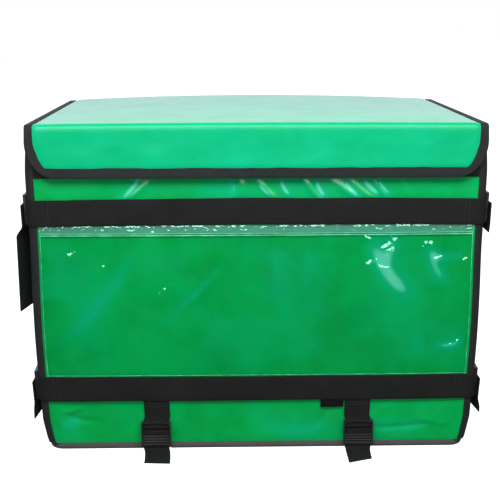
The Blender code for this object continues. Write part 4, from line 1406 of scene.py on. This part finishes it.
def make_anchor(side, sign):
    """The short strap from behind the lower belt down and round the buckle's pin."""
    x = sign * TIE_X
    turn = LADDER_BAR_T / 2 + GAP + WEB_T / 2
    loop_low, loop_high = LADDER_MID_Z + turn + WEB_T + GAP, LADDER_PIN_Z + turn
    middle, tall = (loop_low + loop_high) / 2, (loop_high - loop_low) / 2
    heights = np.linspace(LOWER_BELT_Z - GAP, LADDER_TOP_Z + 0.008, 5)
    left = skin(x - STRAP_W / 2, heights, GAP + WEB_T / 2)
    right = skin(x + STRAP_W / 2, heights, GAP + WEB_T / 2)
    line = list((left + right) / 2)
    ways = list((right - left) / np.linalg.norm(right - left, axis=1)[:, None])
    line.append(front_place(x, LADDER_BAR_OUT * 0.7, LADDER_TOP_Z + 0.001))
    line += [front_place(x, LADDER_BAR_OUT + turn * math.cos(q), middle - tall * math.sin(q))
             for q in np.radians(np.arange(-30, 181, 30))]
    ways += [np.array([1.0, 0, 0])] * (len(line) - len(ways))
    count = 6 * len(line)
    ways = smooth_path(ways, count)
    ways /= np.linalg.norm(ways, axis=1)[:, None]
    webbing_along(f"strap_anchor_webbing_{side}", smooth_path(line, count), ways, STRAP_W,
                  [f"strap_anchor_{side}"])


for row in TIE_ENDS:
    make_tie(*row)
for side, sign in SIDES:
    make_anchor(side, sign)
    bevelled_copy(f"ladder_buckle_{side}", f"ladder_buckle_moulding_{side}", LADDER_BEVEL, PLASTIC)
print("tie straps made")

# %% [markdown]
# ## The small tag
#
# A folded black cloth tag hangs from under the lower belt beside the right tie strap. It is bare.

# %% Tag
tag_low, tag_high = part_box("sewn_tag")
TAG_T = 0.0008
TAG_BOW = 0.0006
TAG_OFF = 0.0006


def make_tag():
    """The bare tag, thin and slightly bowed."""
    a = between(tag_low.x, tag_high.x, 0.0015)[:, None]
    z = between(tag_low.z, tag_high.z, 0.0012)[None, :]
    wide = float(profile(np.array(tag_low.z))[0])
    bow = TAG_BOW * np.sin(np.pi * (a - tag_low.x) / (tag_high.x - tag_low.x))
    base = GAP + TAG_OFF + bow
    tag = closed_sheet("cloth_tag", skin(a / wide, z, base + TAG_T), skin(a / wide, z, base),
                       uv_grid(a, z), TAG_CLOTH, ["sewn_tag"], "tag_cloth")


make_tag()

# %% [markdown]
# ## Sewing thread
#
# Every seam of the bag is a lockstitch: short grains of thread, one after the other, that sink in
# between. They could be an array on each seam, but a node tree does it once for all: it reads a line,
# measures equal steps along it, and lays a rounded grain on each step, turned along the line and
# jogged a little. Its sizes are inputs of the tree, so black thread and green thread share it.

# %% A tree that sews


def new_group(name, inputs):
    """An empty node tree with its named inputs and one result."""
    tree = bpy.data.node_groups.new(name, "GeometryNodeTree")
    for label, kind in (("Geometry", "Geometry"), *inputs):
        tree.interface.new_socket(label, in_out="INPUT", socket_type="NodeSocket" + kind)
    tree.interface.new_socket("Geometry", in_out="OUTPUT", socket_type="NodeSocketGeometry")
    return tree, tree.nodes.new("NodeGroupInput").outputs, tree.nodes.new("NodeGroupOutput").inputs


def finish_group(tree, instances, material, result):
    """Make the instances real and give them their material."""
    real = add(tree, "GeometryNodeRealizeInstances", {"Geometry": instances}).outputs[0]
    dressed = add(tree, "GeometryNodeSetMaterial", {"Geometry": real, "Material": material})
    tree.links.new(dressed.outputs[0], result["Geometry"])


def sewing_tree():
    """Grains of thread along lines."""
    tree, given, result = new_group("sewing", (
        ("Step", "Float"), ("Grain Length", "Float"), ("Thickness", "Float"), ("Unevenness", "Float"),
        ("Seed", "Int"), ("Thread", "Material")))
    line = add(tree, "GeometryNodeMeshToCurve", {"Mesh": given["Geometry"]}).outputs[0]
    steps = add(tree, "GeometryNodeResampleCurve", {"Curve": line, "Length": given["Step"]}, mode="LENGTH")
    ball = add(tree, "GeometryNodeMeshUVSphere", {"Segments": 6, "Rings": 4, "Radius": 0.5})
    grain = add(tree, "GeometryNodeSetShadeSmooth", {"Geometry": ball.outputs["Mesh"]}).outputs[0]
    tangent = add(tree, "GeometryNodeInputTangent").outputs[0]
    along = add(tree, "FunctionNodeAlignRotationToVector", {"Vector": tangent}, axis="Z").outputs[0]
    jog = add(tree, "FunctionNodeRandomValue", {0: (-1, -1, -1), 1: (1, 1, 1), "Seed": given["Seed"]},
              data_type="FLOAT_VECTOR").outputs[0]
    jog = add(tree, "ShaderNodeVectorMath", {0: jog, "Scale": given["Unevenness"]}, operation="SCALE")
    jog = add(tree, "FunctionNodeEulerToRotation", {0: jog.outputs[0]}).outputs[0]
    turned = add(tree, "FunctionNodeRotateRotation", {"Rotation": along, "Rotate By": jog},
                 rotation_space="LOCAL").outputs[0]
    size = add(tree, "ShaderNodeCombineXYZ", {
        "X": given["Thickness"], "Y": given["Thickness"], "Z": given["Grain Length"]}).outputs[0]
    laid = add(tree, "GeometryNodeInstanceOnPoints", {
        "Points": steps.outputs[0], "Instance": grain, "Rotation": turned, "Scale": size}).outputs[0]
    finish_group(tree, laid, given["Thread"], result)
    return tree


def grow(name, lines, tree, values):
    """Put what a tree makes on a mesh of lines on the body, as a plain mesh."""
    points = np.concatenate(lines)
    ends = np.cumsum([len(line) for line in lines])
    at = np.arange(len(points) - 1)
    at = at[~np.isin(at + 1, ends)]
    mesh = bpy.data.meshes.new(name + "_lines")
    mesh.from_pydata(points.tolist(), np.column_stack([at, at + 1]).tolist(), [])
    piece = bpy.data.objects.new(name, mesh)
    bpy.context.collection.objects.link(piece)
    modifier = piece.modifiers.new("nodes", "NODES")
    modifier.node_group = tree
    for item in tree.interface.items_tree:
        if item.in_out == "INPUT" and item.name in values:
            modifier[item.identifier] = values[item.name]
    evaluated = piece.evaluated_get(bpy.context.evaluated_depsgraph_get())
    made = bpy.data.meshes.new_from_object(evaluated)
    made.name = name
    piece.modifiers.remove(modifier)
    piece.data = made
    bpy.data.meshes.remove(mesh)
    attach(piece, "root")
    print(name, "has", len(made.polygons), "faces")


def thread(name, colour):
    """Twisted sewing thread."""
    tree, shader, made = new_material(name, colour)
    where = add(tree, "ShaderNodeTexCoord").outputs["Object"]
    twist = noise(tree, where, 1500, 2, 0.5)
    tree.links.new(blend(tree, twist, colour, tuple(2 * c for c in colour)), shader.inputs["Base Color"])
    tree.links.new(bump(tree, twist, 0.0001, 0.5), shader.inputs["Normal"])
    shader.inputs["Roughness"].default_value = 0.6
    return made


SEWING = sewing_tree()
BLACK_THREAD = thread("black_thread", (0.012, 0.013, 0.014))
GREEN_THREAD = thread("green_thread", (0.001, 0.200, 0.055))

# %% [markdown]
# ## Where the seams run
#
# Each seam is a line on the skin or on the lid's flat cut, a hair above the tape or cloth that it
# holds. The lid tape has one row near its inner edge, each corner tape a row near both edges, the
# hinge two rows and the foot of the walls one. Belts and anchors are held by short rows across them,
# where the load comes on.

# %% Seams
SEAM_IN = 0.0024
SINK = 0.0001
HIDDEN_BY_BELT = 0.025


def clear_of_belts(low, high):
    """Heights between two others, in runs that miss the belts."""
    stops = [low, LOWER_BELT_Z - HIDDEN_BY_BELT, LOWER_BELT_Z + HIDDEN_BY_BELT,
             UPPER_BELT_Z - HIDDEN_BY_BELT, UPPER_BELT_Z + HIDDEN_BY_BELT, high]
    return [between(start, end, 0.004) for start, end in zip(stops[::2], stops[1::2])]


def tape_seams():
    """Rows on the lid tape and on the corner tapes."""
    edge, along = whole_lid_edge()
    inset = lid_tape_width(edge[:, 1], along) - SEAM_IN
    s, t = edge[:, 0] + edge[:, 2] * inset, edge[:, 1] + edge[:, 3] * inset
    rows = [bend(s, t, LID_T + GAP + TAPE_T + SINK)]
    out = GAP + TAPE_T + SINK
    for near, far in ((FRONT_RUN - CORNER_TAPE_FRONT, SIDE_START + CORNER_TAPE_SIDE),
                      (SIDE_END - CORNER_TAPE_SIDE, BACK_START + CORNER_TAPE_FRONT)):
        for _, sign in SIDES:
            for z in clear_of_belts(WALL_Z + 0.004, FLAP_Z - 0.004):
                rows += [skin(sign * a, z, out) for a in (near + SEAM_IN, far - SEAM_IN)]
    return rows


def webbing_seams():
    """Short rows up the ends of the front belts and across the anchors."""
    rows = []
    for _, level, seed in BELTS:
        z = level + between(-0.4 * WEB_W, 0.4 * WEB_W, 0.003)
        for _, sign in SIDES:
            for inset in (0.012, 0.018):
                a = np.full_like(z, sign * (FRONT_RUN - inset))
                rows.append(skin(a, z - belt_sag(a, level), BELT_OUT + WEB_T + belt_slack(a, seed) + SINK))
    across = between(-0.4 * STRAP_W, 0.4 * STRAP_W, 0.003)
    for _, sign in SIDES:
        for below in (0.004, 0.008):
            z = LOWER_BELT_Z - WEB_W / 2 - below
            rows.append(skin(sign * TIE_X + across, z, GAP + WEB_T + SINK))
    return rows


def cloth_seams():
    """Rows on the hinge and round the foot of the walls."""
    hinge = between(BACK_START + 0.010, AROUND - BACK_START - 0.010, 0.004)
    rows = [skin(hinge, HEIGHT - HINGE_H + up, GAP + TAPE_T + SINK) for up in (0.003, 0.006)]
    z = WALL_Z + 0.0045
    tied = TIE_X + STRAP_W / 2 + 0.004
    for start, end in ((-FRONT_RUN + 0.004, -tied), (-2 * TIE_X + tied, 2 * TIE_X - tied),
                       (tied, FRONT_RUN - 0.004), (SIDE_START + 0.012, SIDE_END - 0.012),
                       (BACK_START + 0.004, AROUND - BACK_START - 0.004),
                       (AROUND - SIDE_END + 0.012, AROUND - SIDE_START - 0.012)):
        a = between(start, end, 0.004)
        rows.append(skin(a, z, wall_relief(a, z) + SINK))
    return rows


THREADS = (
    # name, rows, step, grain length, thickness, thread, slot
    ("tape_stitches", tape_seams, 0.0034, 0.0027, 0.0006, BLACK_THREAD, "black_tape"),
    ("webbing_stitches", webbing_seams, 0.0030, 0.0026, 0.0007, BLACK_THREAD, "webbing"),
    ("cloth_stitches", cloth_seams, 0.0036, 0.0028, 0.0006, GREEN_THREAD, "green_cloth"),
)
for name, rows, step, long, thick, material, slot in THREADS:
    grow(name, rows(), SEWING, {"Step": step, "Grain Length": long, "Thickness": thick,
                                "Unevenness": 0.06, "Seed": 7, "Thread": material})

# %% [markdown]
# ## Grip ridges
#
# The tab of each ladder buckle has ridges for the thumb. They repeat, so a second small tree lays
# bars up each tab: it needs only the middle of the tab, the number of bars and their spacing.

# %% Ridges on the tabs
LADDER_W = 0.0435
LADDER_RAIL = 0.0022
LADDER_TAB_T = 0.0022
RIDGE_R = 0.0009


def ridge_tree():
    """Bars laid up each given point."""
    tree, given, result = new_group("ridges", (
        ("Count", "Int"), ("Spacing", "Float"), ("Width", "Float"), ("Radius", "Float"),
        ("Plastic", "Material")))
    bar = add(tree, "GeometryNodeMeshCylinder", {
        "Vertices": 12, "Radius": given["Radius"], "Depth": given["Width"]}).outputs["Mesh"]
    bar = add(tree, "GeometryNodeTransform", {"Geometry": bar, "Rotation": (0, math.pi / 2, 0)}).outputs[0]
    upward = add(tree, "ShaderNodeCombineXYZ", {"Z": given["Spacing"]}).outputs[0]
    ladder = add(tree, "GeometryNodeMeshLine", {"Count": given["Count"], "Offset": upward}).outputs[0]
    bars = add(tree, "GeometryNodeInstanceOnPoints", {"Points": ladder, "Instance": bar}).outputs[0]
    laid = add(tree, "GeometryNodeInstanceOnPoints", {"Points": given["Geometry"], "Instance": bars})
    finish_group(tree, laid.outputs[0], given["Plastic"], result)
    return tree


RIDGE_STEP = 0.0042
TAB_FACE = LADDER_BAR_OUT + LADDER_BAR_T / 2 + 2 * GAP + WEB_T + 0.0004 + LADDER_TAB_T
lowest = LADDER_TAB_Z - 1.2 * RIDGE_STEP
starts = [np.array([front_place(sign * TIE_X, TAB_FACE, lowest)]) for _, sign in SIDES]
grow("tab_ridges", starts, ridge_tree(), {
    "Count": 4, "Spacing": RIDGE_STEP, "Width": LADDER_W - 2 * LADDER_RAIL, "Radius": RIDGE_R,
    "Plastic": PLASTIC})

# %% [markdown]
# ## Studio
#
# The photograph is a product shot on white. A plain white floor and a white surround stand round the
# bag. A wide pale panel behind it gives the lid its milky sheen, a soft box above the front lights the
# cloth, and a bright panel further in front is seen only as sharp glints in the film. The floor glows
# a little itself, so that it stays white, and it throws no light back on the bag.

# %% Floor, lights and surround
FLOOR_REACH = 12.0
FLOOR_WHITE = (0.8, 0.8, 0.8)
FLOOR_GLOW = 0.88
WORLD_LIGHT = 0.45
PANELS = (
    # name, place, target, size, radiance, what sees it, colour
    ("rear_panel", (0, 2.6, 1.2), (0, 0, 0.5), (5.0, 2.6), 1.42, "glossy", (0.86, 0.83, 1.0)),
    ("front_softbox", (0, -1.05, 1.40), (0, -0.2, 0.25), (1.9, 0.6), 8.0, "diffuse", (1, 1, 1)),
    ("glow_panel", (0, -2.1, 1.42), (0, -0.2, 0.9), (3.0, 1.3), 7.0, "glossy", (1, 1, 1)),
)


def make_floor():
    """A large white floor."""
    mesh = bpy.data.meshes.new("studio_floor")
    corners = [(x * FLOOR_REACH, y * FLOOR_REACH, 0) for x, y in ((-1, -1), (1, -1), (1, 1), (-1, 1))]
    mesh.from_pydata(corners, [], [(0, 1, 2, 3)])
    floor = bpy.data.objects.new("studio_floor", mesh)
    bpy.context.collection.objects.link(floor)
    _, shader, made = new_material("studio_floor", FLOOR_WHITE)
    shader.inputs["Base Color"].default_value = (*FLOOR_WHITE, 1)
    shader.inputs["Emission Color"].default_value = (1, 1, 1, 1)
    shader.inputs["Emission Strength"].default_value = FLOOR_GLOW
    shader.inputs["Roughness"].default_value = 0.9
    shader.inputs["Specular IOR Level"].default_value = 0.0
    mesh.materials.append(made)
    floor.visible_glossy = False
    floor.visible_diffuse = False


def make_panel(name, place, target, size, radiance, kind, colour):
    """A soft rectangular light aimed at a point. Only diffuse or only glossy surfaces see it."""
    data = bpy.data.lights.new(name, "AREA")
    data.color = colour
    data.shape = "RECTANGLE"
    data.size, data.size_y = size
    data.energy = radiance * math.pi * size[0] * size[1]
    light = bpy.data.objects.new(name, data)
    bpy.context.collection.objects.link(light)
    light.location = place
    aim = Vector(target) - Vector(place)
    light.rotation_euler = aim.to_track_quat("-Z", "Y").to_euler()
    light.visible_camera = False
    light.visible_diffuse = kind == "diffuse"
    light.visible_glossy = kind == "glossy"


def make_world(strength):
    """A white surround. The camera sees it white, and it lights the bag more weakly."""
    world = bpy.data.worlds.new("studio")
    world.use_nodes = True
    tree = world.node_tree
    seen = add(tree, "ShaderNodeLightPath").outputs["Is Camera Ray"]
    background = tree.nodes["Background"]
    background.inputs["Color"].default_value = (1, 1, 1, 1)
    tree.links.new(remap(tree, seen, 0, 1, strength, 1.0), background.inputs["Strength"])
    world.cycles_visibility.glossy = False
    bpy.context.scene.world = world


make_floor()
make_world(WORLD_LIGHT)
for panel in PANELS:
    make_panel(*panel)
bpy.context.scene.view_settings.view_transform = "Standard"
bpy.context.scene.view_settings.look = "None"
print("studio set")
